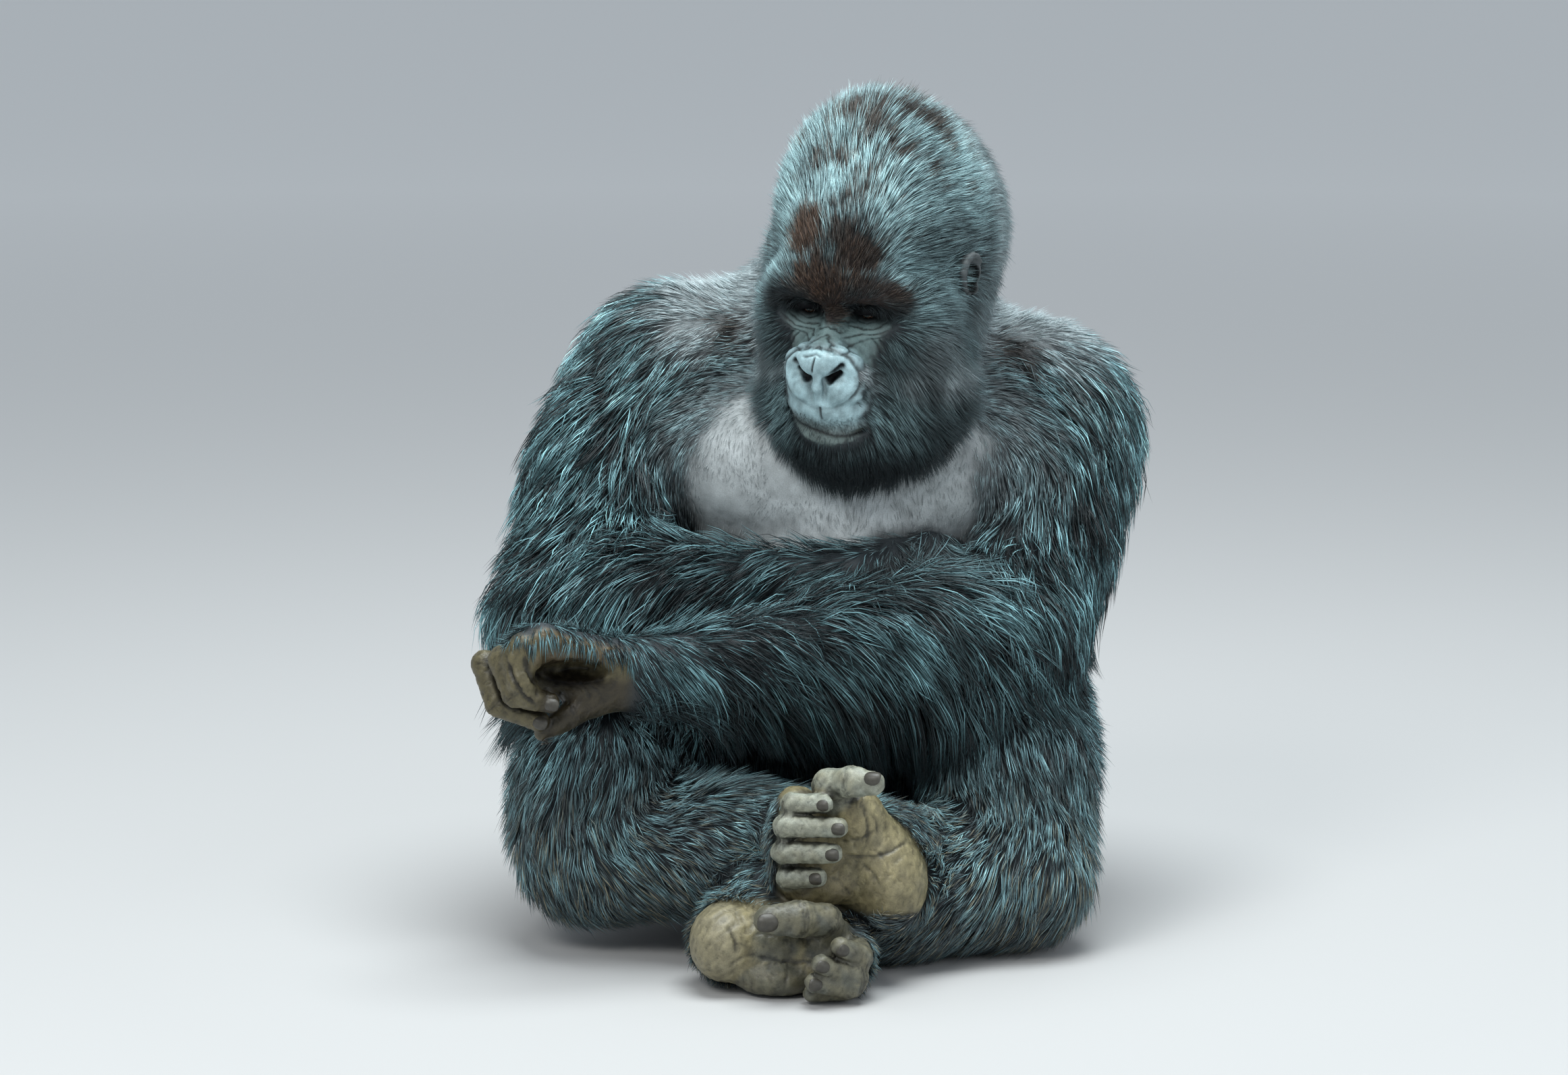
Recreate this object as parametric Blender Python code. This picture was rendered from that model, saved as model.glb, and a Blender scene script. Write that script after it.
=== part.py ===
"""Seated silverback mountain gorilla, arms folded and legs crossed, life size.

The body is described by ellipsoids and tapered limbs, each with the depth of the
coat over it.  Every sub-part is built from those primitives, joined by a voxel
remesh, drawn onto the smoothly blended surface, thinned, parted from its
neighbours by flat cuts at the joints and by Boolean cuts where one part presses
on another.  Metres, +Z up, the animal faces -Y and sits on the plane z = 0.
"""
import math

import bmesh
import bpy
import numpy as np
from mathutils import Matrix, Vector
from mathutils.bvhtree import BVHTree

for old in list(bpy.data.objects):
    bpy.data.objects.remove(old, do_unlink=True)

# ------------------------------------------------------------------ driving sizes
GAP = 0.0003                       # clearance between neighbouring parts
MIDDLE = (-0.0007, -0.1102, 0.0)   # centre of the seated outline, taken off every part
FLOOR = 0.0                        # the level that the animal sits on


def vec(*a):
    return np.array(a, float)


SH_R, SH_L = vec(-0.175, 0.050, 0.590), vec(0.255, 0.040, 0.550)      # shoulder joints
EL_R, EL_L = vec(-0.280, -0.135, 0.350), vec(0.200, -0.170, 0.345)    # elbows
WR_R, WR_L = vec(0.030, -0.190, 0.400), vec(-0.190, -0.325, 0.322)    # wrists
HIP_R, HIP_L = vec(-0.110, 0.120, 0.175), vec(0.130, 0.120, 0.175)    # hips
KN_R, KN_L = vec(-0.245, -0.185, 0.175), vec(0.208, -0.170, 0.190)    # knees, thigh side
KC_R, KC_L = vec(-0.250, -0.210, 0.112), vec(0.215, -0.225, 0.088)    # knees, calf side
AN_R, AN_L = vec(0.070, -0.320, 0.130), vec(-0.055, -0.355, 0.075)    # ankles
HEAD = vec(0.055, -0.150, 0.725)                                      # between the ears
YAW, PITCH, ROLL = 24.0, 19.0, 3.5                                    # how the head is held
EYE = (0.078, 0.006, 0.0325)                                          # forward, up, to each side
EYE_RADIUS = 0.0125
EAR = (-0.008, 0.020, 0.118)
COAT = dict(trunk=0.020, back=0.024, shoulder=0.028, upper_arm=0.034, forearm=0.036,
            thigh=0.026, calf=0.024, head=0.020, jaw=0.030, face=0.0)


# ------------------------------------------------------------------ small maths
def unit(v):
    v = np.asarray(v, float)
    return v / np.linalg.norm(v)


def head_axes():
    """Columns: forward, up, and towards the animal's left ear."""
    psi, th, ro = (math.radians(a) for a in (YAW, PITCH, ROLL))
    fh = vec(-math.sin(psi), -math.cos(psi), 0)
    z = vec(0, 0, 1)
    f = math.cos(th) * fh - math.sin(th) * z
    u = math.sin(th) * fh + math.cos(th) * z
    s = vec(math.cos(psi), -math.sin(psi), 0)
    c, d = math.cos(ro), math.sin(ro)
    return np.array([f, c * u + d * s, c * s - d * u]).T


HA = head_axes()


def hp(f, u, s):
    return HEAD + HA @ vec(f, u, s)


def frame3(a, n):
    """Columns: along, sideways, out, made square from along and out."""
    a = unit(a)
    n = unit(np.asarray(n, float) - a * np.dot(a, n))
    return np.array([a, np.cross(n, a), n]).T


# ------------------------------------------------------------------ the body's primitives
PRIMS = []


def E(group, name, c, r, k=0.03, coat=0.0, R=None):
    """An ellipsoid: centre, radii, blend with its neighbours, coat over it, axes."""
    PRIMS.append(dict(t="E", g=group, n=name, c=vec(*c), R=np.eye(3) if R is None else R, r=vec(*r), k=k, coat=coat))


def C(group, name, a, b, ra, rb, k=0.03, coat=0.0):
    """A tapered limb from a to b."""
    PRIMS.append(dict(t="C", g=group, n=name, a=vec(*a), b=vec(*b), ra=ra, rb=rb, k=k, coat=coat))


def hollow(group, name, c, r, k=0.012, R=None):
    """An ellipsoid taken out of the surface, such as an eye socket."""
    E(group, name, c, r, k, 0.0, R)
    PRIMS[-1]["t"] = "H"


def chain(g, n, pts, radii, k0=0.010, k=0.006, coat=0.0):
    """A finger or toe: joints and the radius at each."""
    for i in range(len(pts) - 1):
        C(g, n, pts[i], pts[i + 1], radii[i], radii[i + 1], k0 if i == 0 else k, coat)


NAILS = []


def digit(g, n, pts, radii, k0=0.010, k=0.006, face=(0, -1, 0)):
    chain(g, n, pts, radii, k0, k)
    along = unit(np.asarray(pts[-1]) - np.asarray(pts[-2]))
    out = vec(*face)
    out = unit(out - along * np.dot(out, along))
    NAILS.append((g, n, pts[-1] + out * radii[-1] * 0.72 + along * radii[-1] * 0.22, frame3(along, out), radii[-1]))


def trunk():
    E("trunk", "pelvis", (0.010, 0.115, 0.150), (0.228, 0.158, 0.152), .06, COAT["trunk"])
    E("trunk", "belly", (0.015, -0.010, 0.270), (0.200, 0.165, 0.185), .06, COAT["trunk"])
    E("trunk", "chest", (0.040, 0.010, 0.460), (0.195, 0.155, 0.180), .07, COAT["trunk"])
    E("trunk", "back", (0.040, 0.105, 0.480), (0.205, 0.145, 0.195), .07, COAT["back"])
    E("trunk", "loin", (0.018, 0.100, 0.305), (0.203, 0.148, 0.170), .07, COAT["back"])
    C("trunk", "girdle", (-0.120, 0.065, 0.595), (0.205, 0.060, 0.560), .088, .088, .06, COAT["back"])
    E("trunk", "hump", (0.035, 0.085, 0.615), (0.150, 0.110, 0.095), .06, COAT["back"])
    for s in (-1, 1):
        E("trunk", "breast", (0.035 + s * 0.100, -0.070, 0.520), (0.105, 0.090, 0.080), .05, 0.012)
    C("neck", "neck", (0.045, 0.065, 0.640), (0.065, -0.050, 0.730), .105, .100, .06, COAT["back"])
    C("neck", "nape", (0.045, 0.105, 0.645), (0.085, -0.045, 0.775), .100, .088, .06, COAT["back"])


def limbs():
    for g, sh, el, wr, s in (("arm_R", SH_R, EL_R, WR_R, -1), ("arm_L", SH_L, EL_L, WR_L, 1)):
        E(g, "deltoid", sh + vec(s * 0.002, -0.005, -0.010), (0.082, 0.095, 0.105), .05, COAT["shoulder"])
        C(g, "upper", sh + vec(0, 0, -0.03), el, .084, .062, .05, COAT["upper_arm"])
        E(g, "triceps", sh * 0.45 + el * 0.55 + vec(s * 0.010, 0.030, 0), (0.066, 0.072, 0.120), .05, COAT["upper_arm"])
        near, mid = el * 0.8 + wr * 0.2, el * 0.55 + wr * 0.45
        C(g, "elbow", el, near, .060, .064, .04, COAT["forearm"])
        C(g, "forearm", near, mid, .064, .058, .04, COAT["forearm"])
        C(g, "wrist", mid, wr, .056, .036, .03, 0.020)
    for g, hip, kn, kc, an in (("leg_R", HIP_R, KN_R, KC_R, AN_R), ("leg_L", HIP_L, KN_L, KC_L, AN_L)):
        half = (kc + an) / 2
        C(g, "thigh", hip, kn, .125, .076, .06, COAT["thigh"])
        C(g, "knee", kn, kc, .074, .070, .05, COAT["calf"])
        C(g, "calf", kc, half, .068, .064, .03, COAT["calf"])
        C(g, "shin", half, an, .062, .040, .03, 0.018)
    E("leg_L", "thigh_bulk", (0.200, -0.050, 0.230), (0.090, 0.125, 0.090), .05, COAT["thigh"])
    E("leg_R", "thigh_bulk", (-0.190, -0.060, 0.215), (0.105, 0.125, 0.080), .05, COAT["thigh"])
    C("leg_R", "ankle", AN_R, vec(0.063, -0.350, 0.114), .040, .038, .03, 0.010)
    C("leg_L", "ankle", AN_L, vec(-0.095, -0.385, 0.047), .040, .036, .03, 0.010)


def head():
    def HE(n, c, r, k=.03, coat=COAT["head"]):
        E("head", n, hp(*c), r, k, coat, HA)
    HE("cranium", (-0.030, 0.040, 0), (0.098, 0.090, 0.088))
    HE("crest", (-0.050, 0.108, -0.004), (0.085, 0.082, 0.072), .05, 0.022)
    HE("nape", (-0.110, 0.030, 0), (0.085, 0.110, 0.092), .05, 0.022)
    HE("glabella", (0.078, 0.046, 0), (0.036, 0.026, 0.050), .02, 0.008)
    HE("forehead", (0.045, 0.080, 0), (0.050, 0.055, 0.055), .04, 0.010)
    C("head", "brow", hp(0.084, 0.036, -0.056), hp(0.084, 0.036, 0.056), .020, .020, .020, 0.008)
    for s in (-1, 1):
        HE("temple", (-0.040, 0.065, s * 0.036), (0.085, 0.088, 0.058), .04)
        HE("cheekbone", (0.040, -0.010, s * 0.070), (0.048, 0.040, 0.032), .03, 0.014)
        HE("jowl", (0.038, -0.082, s * 0.058), (0.062, 0.080, 0.043), .04, 0.028)
        HE("nostril_wing", (0.133, -0.057, s * 0.022), (0.020, 0.026, 0.022), .010, COAT["face"])
    HE("muzzle", (0.080, -0.055, 0), (0.065, 0.050, 0.050), .025, COAT["face"])
    HE("upper_lip", (0.100, -0.085, 0), (0.050, 0.030, 0.052), .02, 0.002)
    HE("chin", (0.090, -0.132, 0), (0.050, 0.036, 0.044), .02, 0.018)
    HE("jaw", (0.050, -0.130, 0), (0.078, 0.048, 0.064), .04, COAT["jaw"])
    HE("throat", (-0.020, -0.095, 0), (0.080, 0.060, 0.072), .05, 0.026)
    C("head", "bridge", hp(0.082, 0.010, 0), hp(0.120, -0.038, 0), .018, .020, .02, COAT["face"])
    HE("nose_tip", (0.139, -0.044, 0), (0.016, 0.018, 0.020), .010, COAT["face"])
    for s in (-1, 1):
        hollow("head", "socket", hp(0.112, 0.006, s * 0.036), (0.030, 0.015, 0.027), .014, HA)
        hollow("head", "nostril", hp(0.156, -0.060, s * 0.015), (0.012, 0.008, 0.009), .006, HA)
    hollow("head", "mouth", hp(0.150, -0.103, 0), (0.016, 0.005, 0.044), .010, HA)
    for s, g in ((-1, "ear_R"), (1, "ear_L")):
        lean = HA @ np.array(Matrix.Rotation(math.radians(s * 24), 3, "Y"))
        E(g, "ear", hp(EAR[0], EAR[1], s * EAR[2]), (0.022, 0.029, 0.0095), .01, 0.0, lean)


def feet():
    g = "foot_R"                                   # the upper foot, sole forward
    E(g, "heel", (0.072, -0.375, 0.104), (0.040, 0.046, 0.049), .03)
    E(g, "sole", (0.034, -0.372, 0.140), (0.055, 0.036, 0.052), .025)
    E(g, "outer_pad", (-0.004, -0.390, 0.112), (0.044, 0.032, 0.027), .012)
    E(g, "great_toe_pad", (0.036, -0.385, 0.179), (0.028, 0.034, 0.032), .02)
    C(g, "knuckles", (-0.027, -0.385, 0.192), (-0.030, -0.380, 0.115), .022, .020, .015, 0.004)
    C(g, "instep", (-0.013, -0.360, 0.154), (0.053, -0.340, 0.112), .036, .036, .03, 0.006)
    digit(g, "toe_2", [vec(-0.029, -0.385, 0.190), vec(-0.031, -0.424, 0.203), vec(0.002, -0.440, 0.206)], (.0125, .0120, .0100))
    digit(g, "toe_3", [vec(-0.036, -0.385, 0.169), vec(-0.039, -0.430, 0.180), vec(0.017, -0.446, 0.182)], (.0135, .0130, .0110))
    digit(g, "toe_4", [vec(-0.038, -0.385, 0.143), vec(-0.041, -0.428, 0.152), vec(0.011, -0.444, 0.154)], (.0135, .0130, .0112))
    digit(g, "toe_5", [vec(-0.033, -0.382, 0.116), vec(-0.036, -0.418, 0.122), vec(-0.005, -0.434, 0.126)], (.0130, .0125, .0108))
    digit(g, "great_toe", [vec(0.032, -0.385, 0.185), vec(0.007, -0.408, 0.220), vec(0.031, -0.426, 0.227), vec(0.053, -0.434, 0.227)],
          (.0230, .0165, .0160, .0135), .02, .012, (0, -0.75, 0.65))
    g = "foot_L"                                   # the lower foot, on the ground
    E(g, "heel", (-0.106, -0.420, 0.052), (0.034, 0.044, 0.040), .03)
    E(g, "sole", (-0.057, -0.420, 0.048), (0.052, 0.034, 0.036), .025)
    E(g, "outer_pad", (-0.047, -0.435, 0.019), (0.044, 0.034, 0.0215), .012)
    E(g, "ball", (0.005, -0.425, 0.038), (0.032, 0.034, 0.036), .02)
    C(g, "instep", (-0.077, -0.385, 0.052), (0.009, -0.395, 0.036), .036, .034, .03, 0.006)
    digit(g, "great_toe", [vec(0.010, -0.430, 0.063), vec(0.003, -0.452, 0.084), vec(-0.024, -0.468, 0.089), vec(-0.056, -0.474, 0.089)],
          (.0200, .0170, .0190, .0165), .015, .012)
    digit(g, "toe_2", [vec(0.036, -0.430, 0.054), vec(0.041, -0.474, 0.049), vec(0.019, -0.492, 0.064)], (.0140, .0130, .0112))
    digit(g, "toe_3", [vec(0.034, -0.435, 0.035), vec(0.036, -0.480, 0.030), vec(-0.001, -0.498, 0.047)], (.0140, .0130, .0112))
    digit(g, "toe_4", [vec(0.031, -0.440, 0.022), vec(0.031, -0.482, 0.019), vec(-0.008, -0.496, 0.027)], (.0130, .0125, .0110))
    chain(g, "toe_5", [vec(0.021, -0.440, 0.012), vec(0.020, -0.470, 0.012), vec(-0.010, -0.480, 0.012)], (.0120, .0115, .0100))


def hands():
    g = "hand_L"                                   # palm forward and down, fingers curled
    mcp = [vec(-0.306, -0.335, 0.320), vec(-0.311, -0.350, 0.338), vec(-0.308, -0.365, 0.356), vec(-0.296, -0.378, 0.369)]
    for m in mcp:
        C(g, "palm", vec(-0.201, -0.325, 0.323), m, .027, .0185, .02)
    C(g, "little_side", vec(-0.205, -0.335, 0.336), vec(-0.274, -0.364, 0.353), .017, .016, .012)
    E(g, "thumb_ball", (-0.242, -0.338, 0.303), (0.034, 0.020, 0.021), .012)
    digit(g, "thumb", [vec(-0.240, -0.335, 0.300), vec(-0.266, -0.352, 0.285), vec(-0.295, -0.364, 0.269)], (.0175, .0145, .0115), face=(0, -0.4, -0.9))
    digit(g, "index", [mcp[0], vec(-0.358, -0.354, 0.340), vec(-0.344, -0.370, 0.299), vec(-0.300, -0.374, 0.282)], (.0165, .0160, .0145, .0120))
    digit(g, "middle", [mcp[1], vec(-0.338, -0.380, 0.349), vec(-0.325, -0.392, 0.314), vec(-0.288, -0.391, 0.305)], (.0165, .0165, .0145, .0118))
    chain(g, "ring", [mcp[2], vec(-0.322, -0.394, 0.354), vec(-0.317, -0.402, 0.330), vec(-0.306, -0.398, 0.312)], (.0160, .0155, .0140, .0118))
    chain(g, "little", [mcp[3], vec(-0.314, -0.394, 0.366), vec(-0.307, -0.400, 0.353)], (.0145, .0140, .0120))
    g = "hand_R"                                   # tucked between the chest and the other arm
    F = frame3((0.94, 0.22, 0.05), (0.0, 0.75, -0.65))
    P = lambda x, y, z: WR_R + F @ vec(x, y, z)
    E(g, "palm", P(0.055, 0.0, -0.004), (0.066, 0.048, 0.025), .02, 0.0, F)
    for m, l1, l2, l3 in ((0.036, .050, .040, .028), (0.012, .056, .044, .030), (-0.012, .052, .042, .029), (-0.035, .044, .032, .024)):
        p0 = P(0.100, m, 0.0)
        p1 = p0 + F @ vec(l1 * .80, 0, l1 * .60)
        p2 = p1 + F @ vec(l2 * .20, 0, l2 * .98)
        p3 = p2 + F @ vec(l3 * -.50, 0, l3 * .86)
        chain(g, "finger", [p0, p1, p2, p3], (.0165, .0155, .0140, .0115), .020, .016)
    chain(g, "thumb", [P(0.030, 0.030, 0.006), P(0.062, 0.050, 0.010), P(0.090, 0.052, 0.014)], (.020, .017, .0150), .020, .016)


trunk()
limbs()
head()
feet()
hands()


# ------------------------------------------------------------------ the smooth surface
def smin(a, b, k):
    h = np.maximum(k - np.abs(a - b), 0.0) / k
    return np.minimum(a, b) - h * h * k * 0.25


def distance(p, X):
    """Signed distance from points X to one primitive, its coat included."""
    if p["t"] in "EH":
        r = p["r"] + p["coat"]
        q = (X - p["c"]) @ p["R"]
        k0 = np.sqrt(((q / r) ** 2).sum(1))
        k1 = np.sqrt(((q / (r * r)) ** 2).sum(1))
        return k0 * (k0 - 1.0) / np.maximum(k1, 1e-9)
    ab = p["b"] - p["a"]
    q = X - p["a"]
    h = np.clip(q @ ab / float(ab @ ab), 0, 1)
    q = q - h[:, None] * ab
    return np.sqrt((q * q).sum(1)) - (p["ra"] + (p["rb"] - p["ra"]) * h) - p["coat"]


def surface(prims, X):
    out = np.full(len(X), 0.3)
    for p in prims:
        if p["t"] == "H":
            out = -smin(-out, distance(p, X), p["k"])
        else:
            out = smin(out, distance(p, X), p["k"])
    return out


def onto_surface(prims, V, steps=4, eps=6e-4, most=0.012):
    """Moves points along the gradient until they lie on the blended surface."""
    corners = np.array([[1, 1, 1], [1, -1, -1], [-1, 1, -1], [-1, -1, 1]], float)
    for _ in range(steps):
        g = sum(surface(prims, V + t * eps)[:, None] * t for t in corners) / (4 * eps)
        step = (surface(prims, V) / np.maximum((g * g).sum(1), 0.05))[:, None] * g
        size = np.linalg.norm(step, axis=1, keepdims=True)
        V = V - step * np.minimum(1, most / np.maximum(size, 1e-9))
    return V


# ------------------------------------------------------------------ meshes
def add_ball(bm, c, R, r):
    M = Matrix.Translation(Vector(c)) @ Matrix([[*(R[i] * r), 0] for i in range(3)] + [[0, 0, 0, 1]])
    bmesh.ops.create_icosphere(bm, subdivisions=3, radius=1.0, matrix=M)


def add_limb(bm, a, b, ra, rb):
    """A ball stretched from a to b, each half with its own radius."""
    along = Vector(b - a)
    turn = along.to_track_quat("Z", "Y").to_matrix().to_4x4()
    made = bmesh.ops.create_uvsphere(bm, u_segments=20, v_segments=14, radius=1.0)["verts"]
    for v in made:
        end, r = (along.length, rb) if v.co.z > 0 else (0.0, ra)
        v.co = Vector((v.co.x * r, v.co.y * r, v.co.z * r + end))
    bmesh.ops.transform(bm, matrix=Matrix.Translation(Vector(a)) @ turn, verts=made)


def link(name, mesh):
    ob = bpy.data.objects.new(name, mesh)
    bpy.context.scene.collection.objects.link(ob)
    return ob


def evaluated(ob):
    """The object's mesh with its modifiers applied; the object itself goes."""
    graph = bpy.context.evaluated_depsgraph_get()
    mesh = bpy.data.meshes.new_from_object(ob.evaluated_get(graph), depsgraph=graph)
    bpy.data.objects.remove(ob, do_unlink=True)
    return mesh


def coords(mesh):
    V = np.empty(len(mesh.vertices) * 3, np.float32)
    mesh.vertices.foreach_get("co", V)
    return V.reshape(-1, 3).astype(float)


def set_coords(mesh, V):
    mesh.vertices.foreach_set("co", V.astype(np.float32).ravel())
    mesh.update()


def sculpt(name, prims, voxel, triangles):
    """Joins the primitives, smooths them onto the blended surface and thins the result."""
    bm = bmesh.new()
    for p in prims:
        if p["t"] == "H":
            continue
        if p["t"] == "E":
            add_ball(bm, p["c"], p["R"], p["r"] + p["coat"] + 0.002)
        else:
            add_limb(bm, p["a"], p["b"], p["ra"] + p["coat"] + 0.002, p["rb"] + p["coat"] + 0.002)
    mesh = bpy.data.meshes.new(name)
    bm.to_mesh(mesh)
    bm.free()
    ob = link(name, mesh)
    remesh = ob.modifiers.new("join", "REMESH")
    remesh.mode = "VOXEL"
    remesh.voxel_size = voxel
    mesh = evaluated(ob)
    set_coords(mesh, onto_surface(prims, coords(mesh)))
    ob = link(name, mesh)
    tri = ob.modifiers.new("triangles", "TRIANGULATE")
    tri.min_vertices = 4
    faces = 2 * len(mesh.polygons)
    thin = ob.modifiers.new("thin", "DECIMATE")
    thin.ratio = min(1.0, triangles / faces)
    return evaluated(ob)


def cut(mesh, point, normal):
    """Keeps the side that the normal points away from and closes the cut flat."""
    bm = bmesh.new()
    bm.from_mesh(mesh)
    bmesh.ops.bisect_plane(bm, geom=bm.verts[:] + bm.edges[:] + bm.faces[:], dist=1e-6,
                           plane_co=Vector(point), plane_no=Vector(normal), clear_outer=True)
    rim = [e for e in bm.edges if e.is_boundary]
    if rim:
        bmesh.ops.triangle_fill(bm, edges=rim, use_beauty=True, use_dissolve=False)
    bmesh.ops.recalc_face_normals(bm, faces=bm.faces[:])
    bm.to_mesh(mesh)
    bm.free()


def grown(mesh, by):
    """A copy of the mesh swollen by the clearance."""
    fat = mesh.copy()
    V = coords(fat)
    N = np.array([v.normal[:] for v in fat.vertices])
    set_coords(fat, V + N * by)
    return fat


def tree(mesh):
    bm = bmesh.new()
    bm.from_mesh(mesh)
    t = BVHTree.FromBMesh(bm)
    bm.free()
    return t


def largest(mesh):
    """Drops the crumbs that a cut leaves and keeps the one real body."""
    bm = bmesh.new()
    bm.from_mesh(mesh)
    bmesh.ops.remove_doubles(bm, verts=bm.verts[:], dist=1e-6)
    bmesh.ops.dissolve_degenerate(bm, edges=bm.edges[:], dist=1e-6)
    left, lumps = set(bm.faces), []
    while left:
        stack = [left.pop()]
        lump = list(stack)
        while stack:
            for e in stack.pop().edges:
                for f in e.link_faces:
                    if f in left:
                        left.discard(f)
                        stack.append(f)
                        lump.append(f)
        lumps.append(lump)
    lumps.sort(key=lambda x: -sum(f.calc_area() for f in x))
    for lump in lumps[1:]:
        bmesh.ops.delete(bm, geom=lump, context="FACES")
    loose = [v for v in bm.verts if not v.link_faces]
    bmesh.ops.delete(bm, geom=loose, context="VERTS")
    bmesh.ops.triangulate(bm, faces=bm.faces[:])
    bm.to_mesh(mesh)
    bm.free()
    return mesh


def subtract(mesh, cutter):
    a, b = link("a", mesh), link("b", cutter)
    m = a.modifiers.new("press", "BOOLEAN")
    m.operation, m.solver, m.object = "DIFFERENCE", "EXACT", b
    m.use_self = True
    bpy.context.view_layer.update()
    out = evaluated(a)
    bpy.data.objects.remove(b, do_unlink=True)
    return largest(out)


def group(*names):
    return [p for p in PRIMS if p["g"] in names]


def between(a, b):
    """The flat of a joint: its normal points from a's side to b's side."""
    return unit(unit(b) - unit(a))


# ------------------------------------------------------------------ the parts
MATERIALS = {
    "coat": ((0.030, 0.036, 0.042), 0.75),
    "coat_head": ((0.042, 0.044, 0.048), 0.75),
    "skin_face": ((0.070, 0.078, 0.085), 0.45),
    "skin_hand": ((0.110, 0.095, 0.080), 0.55),
    "eye": ((0.035, 0.018, 0.010), 0.10),
    "nail": ((0.120, 0.110, 0.100), 0.40),
}


def material(name):
    mat = bpy.data.materials.get(name)
    if mat is None:
        mat = bpy.data.materials.new(name)
        mat.use_nodes = True
        b = mat.node_tree.nodes["Principled BSDF"]
        b.inputs["Base Color"].default_value = (*MATERIALS[name][0], 1.0)
        b.inputs["Roughness"].default_value = MATERIALS[name][1]
        b.inputs["Metallic"].default_value = 0.0
    return mat


PARTS = []                                          # (name, material, mesh, family) in order of who keeps its shape


def part(name, mat, mesh, family=None):
    PARTS.append([name, mat, mesh, family or name])


def ball(name, c, R, r, fineness):
    bm = bmesh.new()
    M = Matrix.Translation(Vector(c)) @ Matrix([[*(R[i] * np.asarray(r)), 0] for i in range(3)] + [[0, 0, 0, 1]])
    bmesh.ops.create_icosphere(bm, subdivisions=fineness, radius=1.0, matrix=M)
    bmesh.ops.recalc_face_normals(bm, faces=bm.faces[:])
    mesh = bpy.data.meshes.new(name)
    bm.to_mesh(mesh)
    bm.free()
    return mesh


for s, side in ((-1, "R"), (1, "L")):
    part("eye_" + side, "eye", ball("eye_" + side, hp(EYE[0], EYE[1], s * EYE[2]), HA, [EYE_RADIUS] * 3, 2))
for g, n, c, F, r in NAILS:
    name = "nail_%s_%s" % (n, g[-1])
    part(name, "nail", ball(name, c, F, (r * 0.92, r * 0.76, r * 0.46), 1))
for side in "RL":
    part("ear_" + side, "skin_face", sculpt("ear_" + side, group("ear_" + side), 0.003, 64))
for side in "RL":
    part("foot_" + side, "skin_hand", sculpt("foot_" + side, group("foot_" + side), 0.0035, 430))

# flats at the joints: a point, and the way out of the piece that ends there
NECK_CUT = ((0.060, -0.055, 0.690), (0.0, 0.87, -0.5))
SHOULDER_CUT = {"R": ((-0.130, 0.030, 0.600), (1.0, 0.3, 0.2)), "L": ((0.200, 0.030, 0.580), (-1.0, 0.55, 0.35))}
HIP_CUT = {"R": ((-0.120, 0.070, 0.190), (0.45, 1.0, 0.0)), "L": ((0.140, 0.070, 0.190), (-0.45, 1.0, 0.0))}
KNEE_CUT = {"R": ((-0.250, -0.200, 0.145), (0.15, -0.45, -0.88)), "L": ((0.210, -0.200, 0.140), (-0.15, -0.45, -0.88))}
WRIST = {"R": 0.012, "L": 0.018}                    # how far past the wrist joint the coat ends
half = GAP / 2


def parted(mesh, point, normal):
    """Two pieces with a flat between them: the one behind the normal, the one ahead."""
    n = unit(normal)
    ahead = mesh.copy()
    cut(mesh, vec(*point) - n * half, n)
    cut(ahead, vec(*point) + n * half, -n)
    return mesh, ahead


def one_side(mesh, point, normal):
    cut(mesh, vec(*point) - unit(normal) * half, unit(normal))
    return mesh


part("head", "coat_head", one_side(sculpt("head", group("head"), 0.006, 1000), *NECK_CUT), "head")
neck = one_side(sculpt("neck", group("neck"), 0.009, 150), NECK_CUT[0], -vec(*NECK_CUT[1]))
for side, sh, el, wr in (("L", SH_L, EL_L, WR_L), ("R", SH_R, EL_R, WR_R)):
    arm = sculpt("arm_" + side, group("arm_" + side), 0.009, 370)
    out = unit(wr - el)
    upper, fore = parted(arm, el, between(sh - el, wr - el))
    cut(upper, *SHOULDER_CUT[side])
    wrist = wr + out * WRIST[side]
    fore = one_side(fore, wrist, out)
    hand = one_side(sculpt("hand_" + side, group("hand_" + side), 0.0035, 460 if side == "L" else 110), wrist, -out)
    PARTS.insert(0, ["hand_" + side, "skin_hand", hand, "arm_" + side])
    part("forearm_" + side, "coat", fore, "arm_" + side)
    part("upper_arm_" + side, "coat", upper, "arm_" + side)
for side, hip, kn, kc, an in (("L", HIP_L, KN_L, KC_L, AN_L), ("R", HIP_R, KN_R, KC_R, AN_R)):
    leg = sculpt("leg_" + side, group("leg_" + side), 0.009, 350)
    thigh, calf = parted(leg, *KNEE_CUT[side])
    cut(thigh, *HIP_CUT[side])
    part("lower_leg_" + side, "coat", calf, "leg_" + side)
    part("thigh_" + side, "coat", thigh, "leg_" + side)
part("neck", "coat", neck, "head")
part("trunk", "coat", sculpt("trunk", group("trunk"), 0.010, 430))

# ------------------------------------------------------------------ the seat, then the places where parts press on each other
for p in PARTS:
    if coords(p[2])[:, 2].min() < FLOOR:
        cut(p[2], (0, 0, FLOOR), (0, 0, -1))
presses = [grown(p[2], GAP * 1.4) for p in PARTS]   # each part as it was before its own cuts
for j, later in enumerate(PARTS):
    for earlier, press in zip(PARTS[:j], presses):
        if earlier[3] == later[3]:
            continue
        a, b = coords(later[2]), coords(press)
        if (a.min(0) > b.max(0)).any() or (b.min(0) > a.max(0)).any():
            continue
        if tree(later[2]).overlap(tree(press)):
            later[2] = subtract(later[2], press.copy())

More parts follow.
